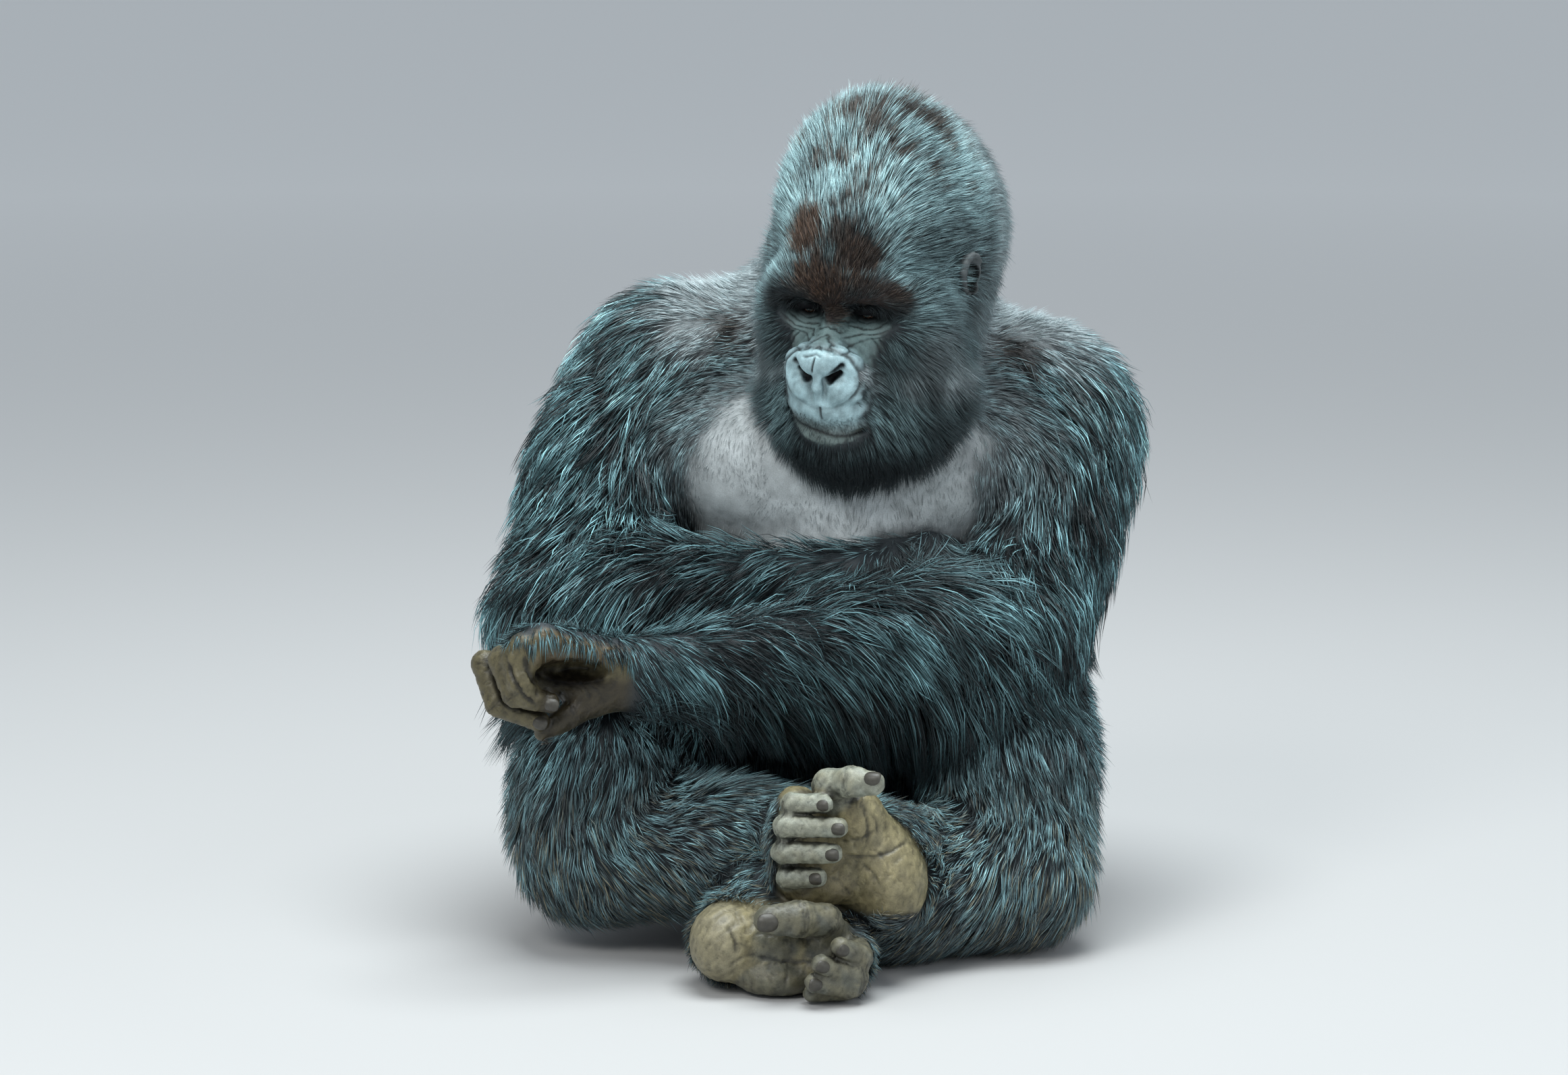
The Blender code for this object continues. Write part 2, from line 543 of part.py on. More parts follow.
# ------------------------------------------------------------------ objects
root = bpy.data.objects.new("gorilla", None)
bpy.context.scene.collection.objects.link(root)
for name, mat, mesh, _ in PARTS:
    V = coords(mesh) - vec(*MIDDLE)
    own = (V.min(0) + V.max(0)) / 2
    set_coords(mesh, V - own)
    mesh.materials.clear()
    mesh.materials.append(material(mat))
    mesh.shade_smooth()
    mesh.set_sharp_from_angle(angle=math.radians(50))
    mesh.name = name
    ob = link(name, mesh)
    ob.name = name
    ob.location = own
    ob.parent = root
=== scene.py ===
"""A seated silverback's looks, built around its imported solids: one skin, a mesh coat, eyes and nails.

The same table of primitives that shaped the solids gives the flesh when their coat
depth is left off.  The skin is that flesh, refined and folded at the face, hands
and feet.  The coat is about 130,000 solid tufts that leave the skin, follow the
lie of the hair over the body, gather into locks and end near the solids' outline.
"""
import math
import time

import bmesh
import bpy
import numpy as np
from mathutils import Matrix, Vector
from mathutils.bvhtree import BVHTree
from mathutils.kdtree import KDTree


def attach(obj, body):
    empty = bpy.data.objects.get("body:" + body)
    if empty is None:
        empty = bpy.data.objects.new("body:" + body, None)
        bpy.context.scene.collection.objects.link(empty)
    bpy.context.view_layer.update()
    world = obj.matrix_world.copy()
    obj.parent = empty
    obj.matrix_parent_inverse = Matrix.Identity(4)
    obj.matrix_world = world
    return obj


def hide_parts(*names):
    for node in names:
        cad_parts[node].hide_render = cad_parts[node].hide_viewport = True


T0 = time.time()


def told(what):
    print("%6.1f s  %s" % (time.time() - T0, what))


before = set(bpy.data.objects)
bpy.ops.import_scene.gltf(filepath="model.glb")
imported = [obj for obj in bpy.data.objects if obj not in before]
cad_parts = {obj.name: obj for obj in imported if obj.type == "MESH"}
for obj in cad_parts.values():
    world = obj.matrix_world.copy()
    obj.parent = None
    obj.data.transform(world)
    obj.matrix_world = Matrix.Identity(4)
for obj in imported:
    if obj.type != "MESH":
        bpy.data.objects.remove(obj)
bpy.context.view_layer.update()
rng = np.random.default_rng(11)

# ------------------------------------------------------------------ the body's measures, as in the solids
MIDDLE = (-0.0007, -0.1102, 0.0)


def vec(*a):
    return np.array(a, float)


SH_R, SH_L = vec(-0.175, 0.050, 0.590), vec(0.255, 0.040, 0.550)
EL_R, EL_L = vec(-0.280, -0.135, 0.350), vec(0.200, -0.170, 0.345)
WR_R, WR_L = vec(0.030, -0.190, 0.400), vec(-0.190, -0.325, 0.322)
HIP_R, HIP_L = vec(-0.110, 0.120, 0.175), vec(0.130, 0.120, 0.175)
KN_R, KN_L = vec(-0.245, -0.185, 0.175), vec(0.208, -0.170, 0.190)
KC_R, KC_L = vec(-0.250, -0.210, 0.112), vec(0.215, -0.225, 0.088)
AN_R, AN_L = vec(0.070, -0.320, 0.130), vec(-0.055, -0.355, 0.075)
HEAD = vec(0.055, -0.150, 0.725)
YAW, PITCH, ROLL = 24.0, 19.0, 3.5
EYE = (0.078, 0.0085, 0.0335)
EYE_RADIUS = 0.0125
EAR = (-0.008, 0.020, 0.1135)
COAT = dict(trunk=0.020, back=0.024, shoulder=0.028, upper_arm=0.034, forearm=0.036,
            thigh=0.026, calf=0.024, head=0.020, jaw=0.030, face=0.0)


def unit(v):
    v = np.asarray(v, float)
    return v / np.linalg.norm(v)


def head_axes():
    psi, th, ro = (math.radians(a) for a in (YAW, PITCH, ROLL))
    fh = vec(-math.sin(psi), -math.cos(psi), 0)
    z = vec(0, 0, 1)
    f = math.cos(th) * fh - math.sin(th) * z
    u = math.sin(th) * fh + math.cos(th) * z
    s = vec(math.cos(psi), -math.sin(psi), 0)
    c, d = math.cos(ro), math.sin(ro)
    return np.array([f, c * u + d * s, c * s - d * u]).T


HA = head_axes()


TURN = 0.034                                      # the muzzle is turned this much further than the skull


def hp(f, u, s):
    return HEAD + HA @ vec(f, u, s - TURN * max(f, 0.0))


def in_head(X):
    """Forward, up and sideways of points, seen from between the ears."""
    q = (X - HEAD) @ HA
    q[:, 2] += TURN * np.maximum(q[:, 0], 0.0)
    return q


def frame3(a, n):
    a = unit(a)
    n = unit(np.asarray(n, float) - a * np.dot(a, n))
    return np.array([a, np.cross(n, a), n]).T


# ------------------------------------------------------------------ primitives
PRIMS = []


def E(group, name, c, r, k=0.03, coat=0.0, R=None, cut=False):
    PRIMS.append(dict(t="E", g=group, n=name, c=vec(*c), R=np.eye(3) if R is None else R, r=vec(*r),
                      k=k, coat=coat, cut=cut))


def C(group, name, a, b, ra, rb, k=0.03, coat=0.0, cut=False):
    PRIMS.append(dict(t="C", g=group, n=name, a=vec(*a), b=vec(*b), ra=ra, rb=rb, k=k, coat=coat, cut=cut))


def chain(g, n, pts, radii, k0=0.010, k=0.006, coat=0.0, cut=False):
    for i in range(len(pts) - 1):
        C(g, n, pts[i], pts[i + 1], radii[i], radii[i + 1], k0 if i == 0 else k, coat, cut)


NAILS = []
JOINTS = []                                       # finger and toe joints, for their creases


def digit(g, n, pts, radii, k0=0.009, k=0.0028, face=(0, -1, 0)):
    chain(g, n, pts, [r * 0.965 for r in radii], k0, k)
    along = unit(np.asarray(pts[-1]) - np.asarray(pts[-2]))
    out = vec(*face)
    out = unit(out - along * np.dot(out, along))
    NAILS.append((g, n, pts[-1] + out * radii[-1] * 0.72 + along * radii[-1] * 0.22, frame3(along, out), radii[-1]))
    for i in range(1, len(pts) - 1):
        JOINTS.append((g, pts[i], unit(unit(pts[i + 1] - pts[i]) + unit(pts[i] - pts[i - 1])), radii[i]))


def trunk():
    E("trunk", "pelvis", (0.010, 0.115, 0.150), (0.228, 0.158, 0.152), .06, COAT["trunk"])
    E("trunk", "belly", (0.015, -0.010, 0.270), (0.200, 0.165, 0.185), .06, COAT["trunk"])
    E("trunk", "chest", (0.040, 0.010, 0.460), (0.195, 0.155, 0.180), .07, COAT["trunk"])
    E("trunk", "back", (0.040, 0.105, 0.480), (0.205, 0.145, 0.195), .07, COAT["back"])
    E("trunk", "loin", (0.018, 0.100, 0.305), (0.203, 0.148, 0.170), .07, COAT["back"])
    C("trunk", "girdle", (-0.120, 0.065, 0.595), (0.205, 0.060, 0.560), .088, .088, .06, COAT["back"])
    E("trunk", "hump", (0.035, 0.085, 0.615), (0.150, 0.110, 0.095), .06, COAT["back"])
    for s in (-1, 1):
        E("trunk", "breast", (0.035 + s * 0.100, -0.070, 0.520), (0.105, 0.090, 0.080), .05, 0.012)
    C("neck", "neck", (0.045, 0.065, 0.640), (0.065, -0.050, 0.730), .105, .100, .06, COAT["back"])
    C("neck", "nape", (0.045, 0.105, 0.645), (0.085, -0.045, 0.775), .100, .088, .06, COAT["back"])


def limbs():
    for g, sh, el, wr, s in (("arm_R", SH_R, EL_R, WR_R, -1), ("arm_L", SH_L, EL_L, WR_L, 1)):
        E(g, "deltoid", sh + vec(s * 0.002, -0.005, -0.010), (0.082, 0.095, 0.105), .05, COAT["shoulder"])
        C(g, "upper", sh + vec(0, 0, -0.03), el, .084, .062, .05, COAT["upper_arm"])
        E(g, "triceps", sh * 0.45 + el * 0.55 + vec(s * 0.010, 0.030, 0), (0.066, 0.072, 0.120), .05, COAT["upper_arm"])
        near, mid = el * 0.8 + wr * 0.2, el * 0.55 + wr * 0.45
        C(g, "elbow", el, near, .060, .064, .04, COAT["forearm"])
        C(g, "forearm", near, mid, .064, .058, .04, COAT["forearm"])
        C(g, "wrist", mid, wr, .056, .036, .03, 0.020)
    for g, hip, kn, kc, an in (("leg_R", HIP_R, KN_R, KC_R, AN_R), ("leg_L", HIP_L, KN_L, KC_L, AN_L)):
        half = (kc + an) / 2
        C(g, "thigh", hip, kn, .125, .076, .06, COAT["thigh"])
        C(g, "knee", kn, kc, .074, .070, .05, COAT["calf"])
        C(g, "calf", kc, half, .068, .064, .03, COAT["calf"])
        C(g, "shin", half, an, .062, .040, .03, 0.018)
    E("leg_L", "thigh_bulk", (0.200, -0.050, 0.230), (0.090, 0.125, 0.090), .05, COAT["thigh"])
    E("leg_R", "thigh_bulk", (-0.190, -0.060, 0.215), (0.105, 0.125, 0.080), .05, COAT["thigh"])
    C("leg_R", "ankle", AN_R, vec(0.063, -0.350, 0.114), .040, .038, .03, 0.010)
    C("leg_L", "ankle", AN_L, vec(-0.095, -0.385, 0.047), .040, .036, .03, 0.010)


def head():
    def HE(n, c, r, k=.03, coat=COAT["head"], R=HA, cut=False):
        E("head", n, hp(*c), r, k, coat, R, cut)

    def HC(n, pts, radii, k0=.01, k=.006, cut=False):
        chain("head", n, [hp(*p) for p in pts], radii, k0, k, 0.0, cut)

    HE("cranium", (-0.030, 0.040, 0), (0.098, 0.090, 0.088))
    HE("crest", (-0.050, 0.108, -0.004), (0.085, 0.082, 0.072), .05, 0.022)
    HE("nape", (-0.110, 0.030, 0), (0.085, 0.110, 0.092), .05, 0.022)
    HE("glabella", (0.078, 0.046, 0), (0.036, 0.026, 0.050), .02, 0.008)
    HE("forehead", (0.045, 0.080, 0), (0.050, 0.055, 0.055), .04, 0.010)
    C("head", "brow", hp(0.084, 0.036, -0.056), hp(0.084, 0.036, 0.056), .020, .020, .020, 0.008)
    for s in (-1, 1):
        HE("temple", (-0.040, 0.065, s * 0.036), (0.085, 0.088, 0.058), .04)
        HE("cheekbone", (0.040, -0.010, s * 0.070), (0.048, 0.040, 0.032), .03, 0.014)
        HE("jowl", (0.038, -0.082, s * 0.058), (0.062, 0.080, 0.043), .04, 0.028)
    HE("muzzle", (0.080, -0.055, 0), (0.065, 0.050, 0.050), .025, COAT["face"])
    HE("upper_lip", (0.098, -0.085, -0.003), (0.054, 0.032, 0.056), .02, 0.002)
    HE("chin", (0.090, -0.132, 0), (0.050, 0.036, 0.044), .02, 0.018)
    HE("jaw", (0.050, -0.130, 0), (0.078, 0.048, 0.064), .04, COAT["jaw"])
    HE("throat", (-0.020, -0.095, 0), (0.080, 0.060, 0.072), .05, 0.026)
    C("head", "bridge", hp(0.082, 0.010, 0), hp(0.120, -0.038, 0), .018, .020, .02, COAT["face"])
    HE("lower_lip", (0.104, -0.1225, -0.004), (0.042, 0.0125, 0.041), .008, 0.0)
    for s in (-1, 1):
        HE("socket", (0.112, 0.006, s * 0.036), (0.030, 0.015, 0.027), .014, 0.0, HA, True)
        HE("bag", (0.078, -0.014, s * 0.039), (0.0185, 0.0115, 0.025), .008, 0.0)
    # lids over the eyeballs, then the nose: a wide pad over two lobed wings, with slit nostrils in a V between them
    e = EYE[1]
    for s in (-1, 1):
        up = [(0.0790, e - .0030, s * 0.0175), (0.0890, e + .0030, s * 0.0260), (0.0915, e + .0045, s * 0.0340),
              (0.0885, e + .0025, s * 0.0420), (0.0780, e - .0040, s * 0.0490)]
        low = [(0.0790, e - .0040, s * 0.0180), (0.0870, e - .0095, s * 0.0270), (0.0880, e - .0108, s * 0.0340),
               (0.0855, e - .0095, s * 0.0415), (0.0775, e - .0050, s * 0.0485)]
        HC("lid", up, (.0036, .0048, .0052, .0048, .0036), .004, .003)
        HC("lid", low, (.0030, .0036, .0038, .0036, .0030), .004, .003)
    HE("nose_pad", (0.1340, -0.0270, 0), (0.0200, 0.0165, 0.0290), .010, 0.0)
    for s in (-1, 1):
        HE("nose_knob", (0.1400, -0.0300, s * 0.0100), (0.0165, 0.0125, 0.0120), .008, 0.0)
        HC("wing", [(0.1320, -0.0250, s * 0.0220), (0.1300, -0.0350, s * 0.0320), (0.1280, -0.0500, s * 0.0345),
                    (0.1320, -0.0640, s * 0.0290), (0.1410, -0.0690, s * 0.0150)],
           (.0100, .0115, .0130, .0135, .0100), .005, .006)
        HE("wing_lobe", (0.1370, -0.0590, s * 0.0200), (0.0180, 0.0150, 0.0155), .007, 0.0)
    HC("septum", [(0.1500, -0.0360, 0), (0.1530, -0.0540, 0), (0.1450, -0.0780, 0)], (.0044, .0050, .0060), .004, .004)
    for s in (-1, 1):
        HC("nostril", [(0.1450, -0.0290, s * 0.0270), (0.1540, -0.0400, s * 0.0185), (0.1600, -0.0490, s * 0.0085)],
           (.0022, .0042, .0038), .004, .005, True)
        HC("nostril", [(0.1400, -0.0380, s * 0.0210), (0.1480, -0.0460, s * 0.0125)], (.0034, .0040), .004, .005, True)
    lips = [(0.1240, -0.1100, -0.0540), (0.1420, -0.1090, -0.0410), (0.1535, -0.1080, -0.0230), (0.1565, -0.1100, -0.0050),
            (0.1530, -0.1135, 0.0110), (0.1430, -0.1150, 0.0270), (0.1280, -0.1130, 0.0400)]
    HC("mouth", lips, (.0026, .0034, .0040, .0043, .0043, .0036, .0026), .004, .004, True)
    for s, g in ((-1, "ear_R"), (1, "ear_L")):
        lean = HA @ np.array(Matrix.Rotation(math.radians(s * 24), 3, "Y"))
        at = hp(EAR[0], EAR[1], s * EAR[2])
        E(g, "ear", at - lean[:, 2] * s * 0.002, (0.0165, 0.0225, 0.0050), .01, 0.0, lean)
        C(g, "stem", hp(-0.030, 0.016, s * 0.088), at - lean[:, 2] * s * 0.004, .0170, .0120, .010)
        ring = []
        for i in range(11):
            a = math.radians(-115 + i * 27)
            ring.append(at + lean @ vec(0.0155 * math.cos(a), 0.0215 * math.sin(a), s * (0.0040 + 0.002 * math.cos(a))))
        chain(g, "rim", ring, [.0026 + .0012 * math.sin(math.pi * i / 10) for i in range(11)], .004, .003)
        E(g, "concha", at + lean @ vec(0.002, -0.004, s * 0.0060), (0.0105, 0.0150, 0.0085), .004, 0.0, lean, True)
        C(g, "tragus", at + lean @ vec(0.0135, -0.010, s * 0.002), at + lean @ vec(0.0110, -0.002, s * 0.005), .0040, .0030, .003)


def feet():
    g = "foot_R"
    E(g, "heel", (0.072, -0.375, 0.104), (0.040, 0.046, 0.049), .03)
    E(g, "sole", (0.034, -0.372, 0.140), (0.055, 0.036, 0.052), .025)
    E(g, "outer_pad", (-0.004, -0.390, 0.112), (0.044, 0.032, 0.027), .012)
    E(g, "great_toe_pad", (0.036, -0.385, 0.179), (0.028, 0.034, 0.032), .02)
    C(g, "knuckles", (-0.027, -0.385, 0.192), (-0.030, -0.380, 0.115), .022, .020, .015, 0.004)
    C(g, "instep", (-0.013, -0.360, 0.154), (0.053, -0.340, 0.112), .036, .036, .03, 0.006)
    digit(g, "toe_2", [vec(-0.029, -0.385, 0.190), vec(-0.031, -0.424, 0.203), vec(0.002, -0.440, 0.206)], (.0125, .0120, .0100))
    digit(g, "toe_3", [vec(-0.036, -0.385, 0.169), vec(-0.039, -0.430, 0.180), vec(0.017, -0.446, 0.182)], (.0135, .0130, .0110))
    digit(g, "toe_4", [vec(-0.038, -0.385, 0.143), vec(-0.041, -0.428, 0.152), vec(0.011, -0.444, 0.154)], (.0135, .0130, .0112))
    digit(g, "toe_5", [vec(-0.033, -0.382, 0.116), vec(-0.036, -0.418, 0.122), vec(-0.005, -0.434, 0.126)], (.0130, .0125, .0108))
    digit(g, "great_toe", [vec(0.032, -0.385, 0.185), vec(0.007, -0.408, 0.220), vec(0.031, -0.426, 0.227), vec(0.053, -0.434, 0.227)],
          (.0230, .0165, .0160, .0135), .02, .008, (0, -0.75, 0.65))
    g = "foot_L"
    E(g, "heel", (-0.106, -0.420, 0.052), (0.034, 0.044, 0.040), .03)
    E(g, "sole", (-0.057, -0.420, 0.048), (0.052, 0.034, 0.036), .025)
    E(g, "outer_pad", (-0.047, -0.435, 0.019), (0.044, 0.034, 0.0215), .012)
    E(g, "ball", (0.005, -0.425, 0.038), (0.032, 0.034, 0.036), .02)
    C(g, "instep", (-0.077, -0.385, 0.052), (0.009, -0.395, 0.036), .036, .034, .03, 0.006)
    digit(g, "great_toe", [vec(0.010, -0.430, 0.063), vec(0.003, -0.452, 0.084), vec(-0.024, -0.468, 0.089), vec(-0.056, -0.474, 0.089)],
          (.0200, .0170, .0190, .0165), .012, .008)
    digit(g, "toe_2", [vec(0.036, -0.430, 0.054), vec(0.041, -0.474, 0.049), vec(0.019, -0.492, 0.064)], (.0140, .0130, .0112))
    digit(g, "toe_3", [vec(0.034, -0.435, 0.035), vec(0.036, -0.480, 0.030), vec(-0.001, -0.498, 0.047)], (.0140, .0130, .0112))
    digit(g, "toe_4", [vec(0.031, -0.440, 0.022), vec(0.031, -0.482, 0.019), vec(-0.008, -0.496, 0.027)], (.0130, .0125, .0110))
    chain(g, "toe_5", [vec(0.021, -0.440, 0.012), vec(0.020, -0.470, 0.012), vec(-0.010, -0.480, 0.012)], (.0120, .0115, .0100))


def hands():
    g = "hand_L"
    mcp = [vec(-0.306, -0.335, 0.320), vec(-0.311, -0.350, 0.338), vec(-0.308, -0.365, 0.356), vec(-0.296, -0.378, 0.369)]
    for m in mcp:
        C(g, "palm", vec(-0.201, -0.325, 0.323), m, .027, .0185, .02)
    C(g, "little_side", vec(-0.205, -0.335, 0.336), vec(-0.274, -0.364, 0.353), .017, .016, .012)
    E(g, "thumb_ball", (-0.242, -0.338, 0.303), (0.034, 0.020, 0.021), .012)
    E(g, "hollow", (-0.262, -0.388, 0.335), (0.042, 0.036, 0.0150), .006, cut=True)
    digit(g, "thumb", [vec(-0.240, -0.335, 0.300), vec(-0.266, -0.352, 0.285), vec(-0.295, -0.364, 0.269)], (.0175, .0145, .0115), face=(0, -0.4, -0.9))
    digit(g, "index", [mcp[0], vec(-0.358, -0.354, 0.340), vec(-0.344, -0.370, 0.299), vec(-0.300, -0.374, 0.282)], (.0155, .0150, .0135, .0115))
    digit(g, "middle", [mcp[1], vec(-0.338, -0.380, 0.349), vec(-0.325, -0.392, 0.314), vec(-0.288, -0.391, 0.305)], (.0155, .0155, .0138, .0114))
    chain(g, "ring", [mcp[2], vec(-0.322, -0.394, 0.354), vec(-0.317, -0.402, 0.330), vec(-0.306, -0.398, 0.312)], (.0160, .0155, .0140, .0118))
    chain(g, "little", [mcp[3], vec(-0.314, -0.394, 0.366), vec(-0.307, -0.400, 0.353)], (.0145, .0140, .0120))
    g = "hand_R"
    F = frame3((0.94, 0.22, 0.05), (0.0, 0.75, -0.65))
    P = lambda x, y, z: WR_R + F @ vec(x, y, z)
    E(g, "palm", P(0.055, 0.0, -0.004), (0.066, 0.048, 0.025), .02, 0.0, F)
    for m, l1, l2, l3 in ((0.036, .050, .040, .028), (0.012, .056, .044, .030), (-0.012, .052, .042, .029), (-0.035, .044, .032, .024)):
        p0 = P(0.100, m, 0.0)
        p1 = p0 + F @ vec(l1 * .80, 0, l1 * .60)
        p2 = p1 + F @ vec(l2 * .20, 0, l2 * .98)
        p3 = p2 + F @ vec(l3 * -.50, 0, l3 * .86)
        chain(g, "finger", [p0, p1, p2, p3], (.0165, .0155, .0140, .0115), .020, .016)
    chain(g, "thumb", [P(0.030, 0.030, 0.006), P(0.062, 0.050, 0.010), P(0.090, 0.052, 0.014)], (.020, .017, .0150), .020, .016)


trunk()
limbs()
head()
feet()
hands()

# ------------------------------------------------------------------ the flesh as a field, negative inside


def smin(a, b, k):
    h = np.maximum(k - np.abs(a - b), 0.0) / k
    return np.minimum(a, b) - h * h * k * 0.25


def distance(p, X, grow=0.0):
    if p["t"] == "E":
        r = p["r"] + p["coat"] * grow
        q = (X - p["c"]) @ p["R"]
        k0 = np.sqrt(((q / r) ** 2).sum(1))
        k1 = np.sqrt(((q / (r * r)) ** 2).sum(1))
        return k0 * (k0 - 1.0) / np.maximum(k1, 1e-9)
    ab = p["b"] - p["a"]
    q = X - p["a"]
    h = np.clip(q @ ab / float(ab @ ab), 0, 1)
    q = q - h[:, None] * ab
    return np.sqrt((q * q).sum(1)) - (p["ra"] + (p["rb"] - p["ra"]) * h) - p["coat"] * grow


def extent(p):
    if p["t"] == "E":
        e = np.sqrt(((p["R"] * p["r"]) ** 2).sum(1))
        return p["c"] - e, p["c"] + e
    r = max(p["ra"], p["rb"])
    return np.minimum(p["a"], p["b"]) - r, np.maximum(p["a"], p["b"]) + r


GROUPS = {}
for p in PRIMS:
    GROUPS.setdefault(p["g"], []).append(p)
BOXES = {}
for g, ps in GROUPS.items():
    e = [extent(p) for p in ps if not p["cut"]]
    BOXES[g] = (np.min([x[0] for x in e], 0), np.max([x[1] for x in e], 0))
REACH = 0.07


def group_field(g, X):
    """The blended surface of one group; far from its box only the distance to the box."""
    lo, hi = BOXES[g]
    gap = np.maximum(np.maximum(lo - X, X - hi), 0.0)
    out = np.sqrt((gap * gap).sum(1)) + 1e-3
    near = out < REACH
    if near.any():
        Y = X[near]
        f = np.full(len(Y), 0.3)
        for p in GROUPS[g]:
            d = distance(p, Y)
            f = -smin(-f, d, p["k"]) if p["cut"] else smin(f, d, p["k"])
        out[near] = f
    return out


def eased(X, c, r0, r1, k0, k1):
    t = np.clip((np.sqrt(((X - c) ** 2).sum(1)) - r0) / (r1 - r0), 0, 1)
    return k0 + (k1 - k0) * t * t * (3 - 2 * t)


def field(X):
    f = {g: group_field(g, X) for g in GROUPS}
    F = smin(f["trunk"], f["neck"], 0.06)
    Hd = f["head"]
    for s in "RL":
        Hd = smin(Hd, f["ear_" + s], 0.008)
    F = smin(F, Hd, 0.05)
    for s, sh, hip in (("R", SH_R, HIP_R), ("L", SH_L, HIP_L)):
        arm = smin(f["arm_" + s], f["hand_" + s], 0.02)
        leg = smin(f["leg_" + s], f["foot_" + s], 0.025)
        F = smin(F, arm, eased(X, sh, 0.13, 0.24, 0.06, 0.004))
        F = smin(F, leg, eased(X, hip, 0.16, 0.26, 0.06, 0.006))
    return -smin(-F, X[:, 2] - 0.0004, 0.006)


def chunked(fn, X, n=150000):
    return np.concatenate([fn(X[i:i + n]) for i in range(0, len(X), n)]) if len(X) > n else fn(X)


TETRA = np.array([[1, 1, 1], [1, -1, -1], [-1, 1, -1], [-1, -1, 1]], float)


def slope(fn, X, eps=5e-4):
    return sum(chunked(fn, X + t * eps)[:, None] * t for t in TETRA) / (4 * eps)


def onto(fn, V, steps=2, most=0.008):
    for _ in range(steps):
        g = slope(fn, V)
        step = (chunked(fn, V) / np.maximum((g * g).sum(1), 0.05))[:, None] * g
        size = np.linalg.norm(step, axis=1, keepdims=True)
        V = V - step * np.minimum(1, most / np.maximum(size, 1e-9))
    return V


def nets(fn, lo, hi, h, coarse=4):
    """Surface nets: one vertex in each cell that the surface crosses, worked out only near it."""
    lo = np.array(lo, float)
    H = h * coarse
    nb = np.ceil((np.array(hi) - lo) / H).astype(int)
    cc = lo + (np.stack(np.meshgrid(*[np.arange(n) + 0.5 for n in nb], indexing="ij"), -1).reshape(-1, 3)) * H
    Fb = chunked(fn, cc).reshape(nb)
    n = nb * coarse + 1
    D = np.ones(n, np.float32)
    near = np.abs(Fb) < H * 1.2 + 0.003
    steps = [(a, b, c) for a in range(coarse + 1) for b in range(coarse + 1) for c in range(coarse + 1)]
    ii = np.argwhere((Fb < 0) & ~near)
    for a, b, c in steps:
        D[ii[:, 0] * coarse + a, ii[:, 1] * coarse + b, ii[:, 2] * coarse + c] = -1
    mark = np.zeros(n, bool)
    ii = np.argwhere(near)
    for a, b, c in steps:
        mark[ii[:, 0] * coarse + a, ii[:, 1] * coarse + b, ii[:, 2] * coarse + c] = True
    idx = np.argwhere(mark)
    D[mark] = chunked(fn, lo + idx * h)
    S = D < 0
    cnt = np.zeros(np.array(n) - 1, np.uint8)
    for a in (0, 1):
        for b in (0, 1):
            for c in (0, 1):
                cnt += S[a:n[0] - 1 + a, b:n[1] - 1 + b, c:n[2] - 1 + c]
    cells = np.argwhere((cnt > 0) & (cnt < 8))
    vid = np.full(np.array(n) - 1, -1, np.int64)
    vid[tuple(cells.T)] = np.arange(len(cells))
    acc, num = np.zeros((len(cells), 3)), np.zeros(len(cells))
    for ax in range(3):
        o = [a for a in range(3) if a != ax]
        for i in (0, 1):
            for j in (0, 1):
                p0 = cells.copy()
                p0[:, o[0]] += i
                p0[:, o[1]] += j
                p1 = p0.copy()
                p1[:, ax] += 1
                a, b = D[tuple(p0.T)], D[tuple(p1.T)]
                m = (a < 0) != (b < 0)
                q = p0.astype(float)
                q[:, ax] += np.where(m, a / (a - b + 1e-12), 0)
                acc += np.where(m[:, None], q, 0)
                num += m
    V = lo + acc / num[:, None] * h
    faces = []
    for ax in range(3):
        o1, o2 = (ax + 1) % 3, (ax + 2) % 3
        s0, s1 = [slice(None)] * 3, [slice(None)] * 3
        s0[ax], s1[ax] = slice(0, -1), slice(1, None)
        A, B = S[tuple(s0)], S[tuple(s1)]
        e = np.argwhere(A != B)
        e = e[(e[:, o1] > 0) & (e[:, o2] > 0) & (e[:, o1] < n[o1] - 1) & (e[:, o2] < n[o2] - 1)]
        flip = A[tuple(e.T)]

        def c(d1, d2):
            q = e.copy()
            q[:, o1] -= d1
            q[:, o2] -= d2
            return vid[tuple(q.T)]
        quad = np.stack([c(1, 1), c(0, 1), c(0, 0), c(1, 0)], 1)
        faces.append(np.where(flip[:, None], quad, quad[:, ::-1]))
    return V, np.concatenate(faces)


# ------------------------------------------------------------------ small mesh helpers
def smooth01(x, a, b):
    t = np.clip((x - a) / (b - a), 0, 1)
    return t * t * (3 - 2 * t)


def new_mesh(name, V, faces):
    """A mesh from vertices and a face array of one size."""
    me = bpy.data.meshes.new(name)
    k = faces.shape[1]
    me.vertices.add(len(V))
    me.vertices.foreach_set("co", np.asarray(V, np.float32).ravel())
    me.loops.add(faces.size)
    me.loops.foreach_set("vertex_index", faces.astype(np.int32).ravel())
    me.polygons.add(len(faces))
    me.polygons.foreach_set("loop_start", np.arange(0, faces.size, k, dtype=np.int32))
    me.update(calc_edges=True)
    return me


def linked(name, me):
    ob = bpy.data.objects.new(name, me)
    bpy.context.scene.collection.objects.link(ob)
    return ob


def coords(me):
    V = np.empty(len(me.vertices) * 3, np.float32)
    me.vertices.foreach_get("co", V)
    return V.reshape(-1, 3).astype(float)


def normals(me):
    N = np.empty(len(me.vertices) * 3, np.float32)
    me.vertices.foreach_get("normal", N)
    return N.reshape(-1, 3).astype(float)


def triangles(me):
    me.calc_loop_triangles()
    F = np.empty(len(me.loop_triangles) * 3, np.int32)
    me.loop_triangles.foreach_get("vertices", F)
    return F.reshape(-1, 3)


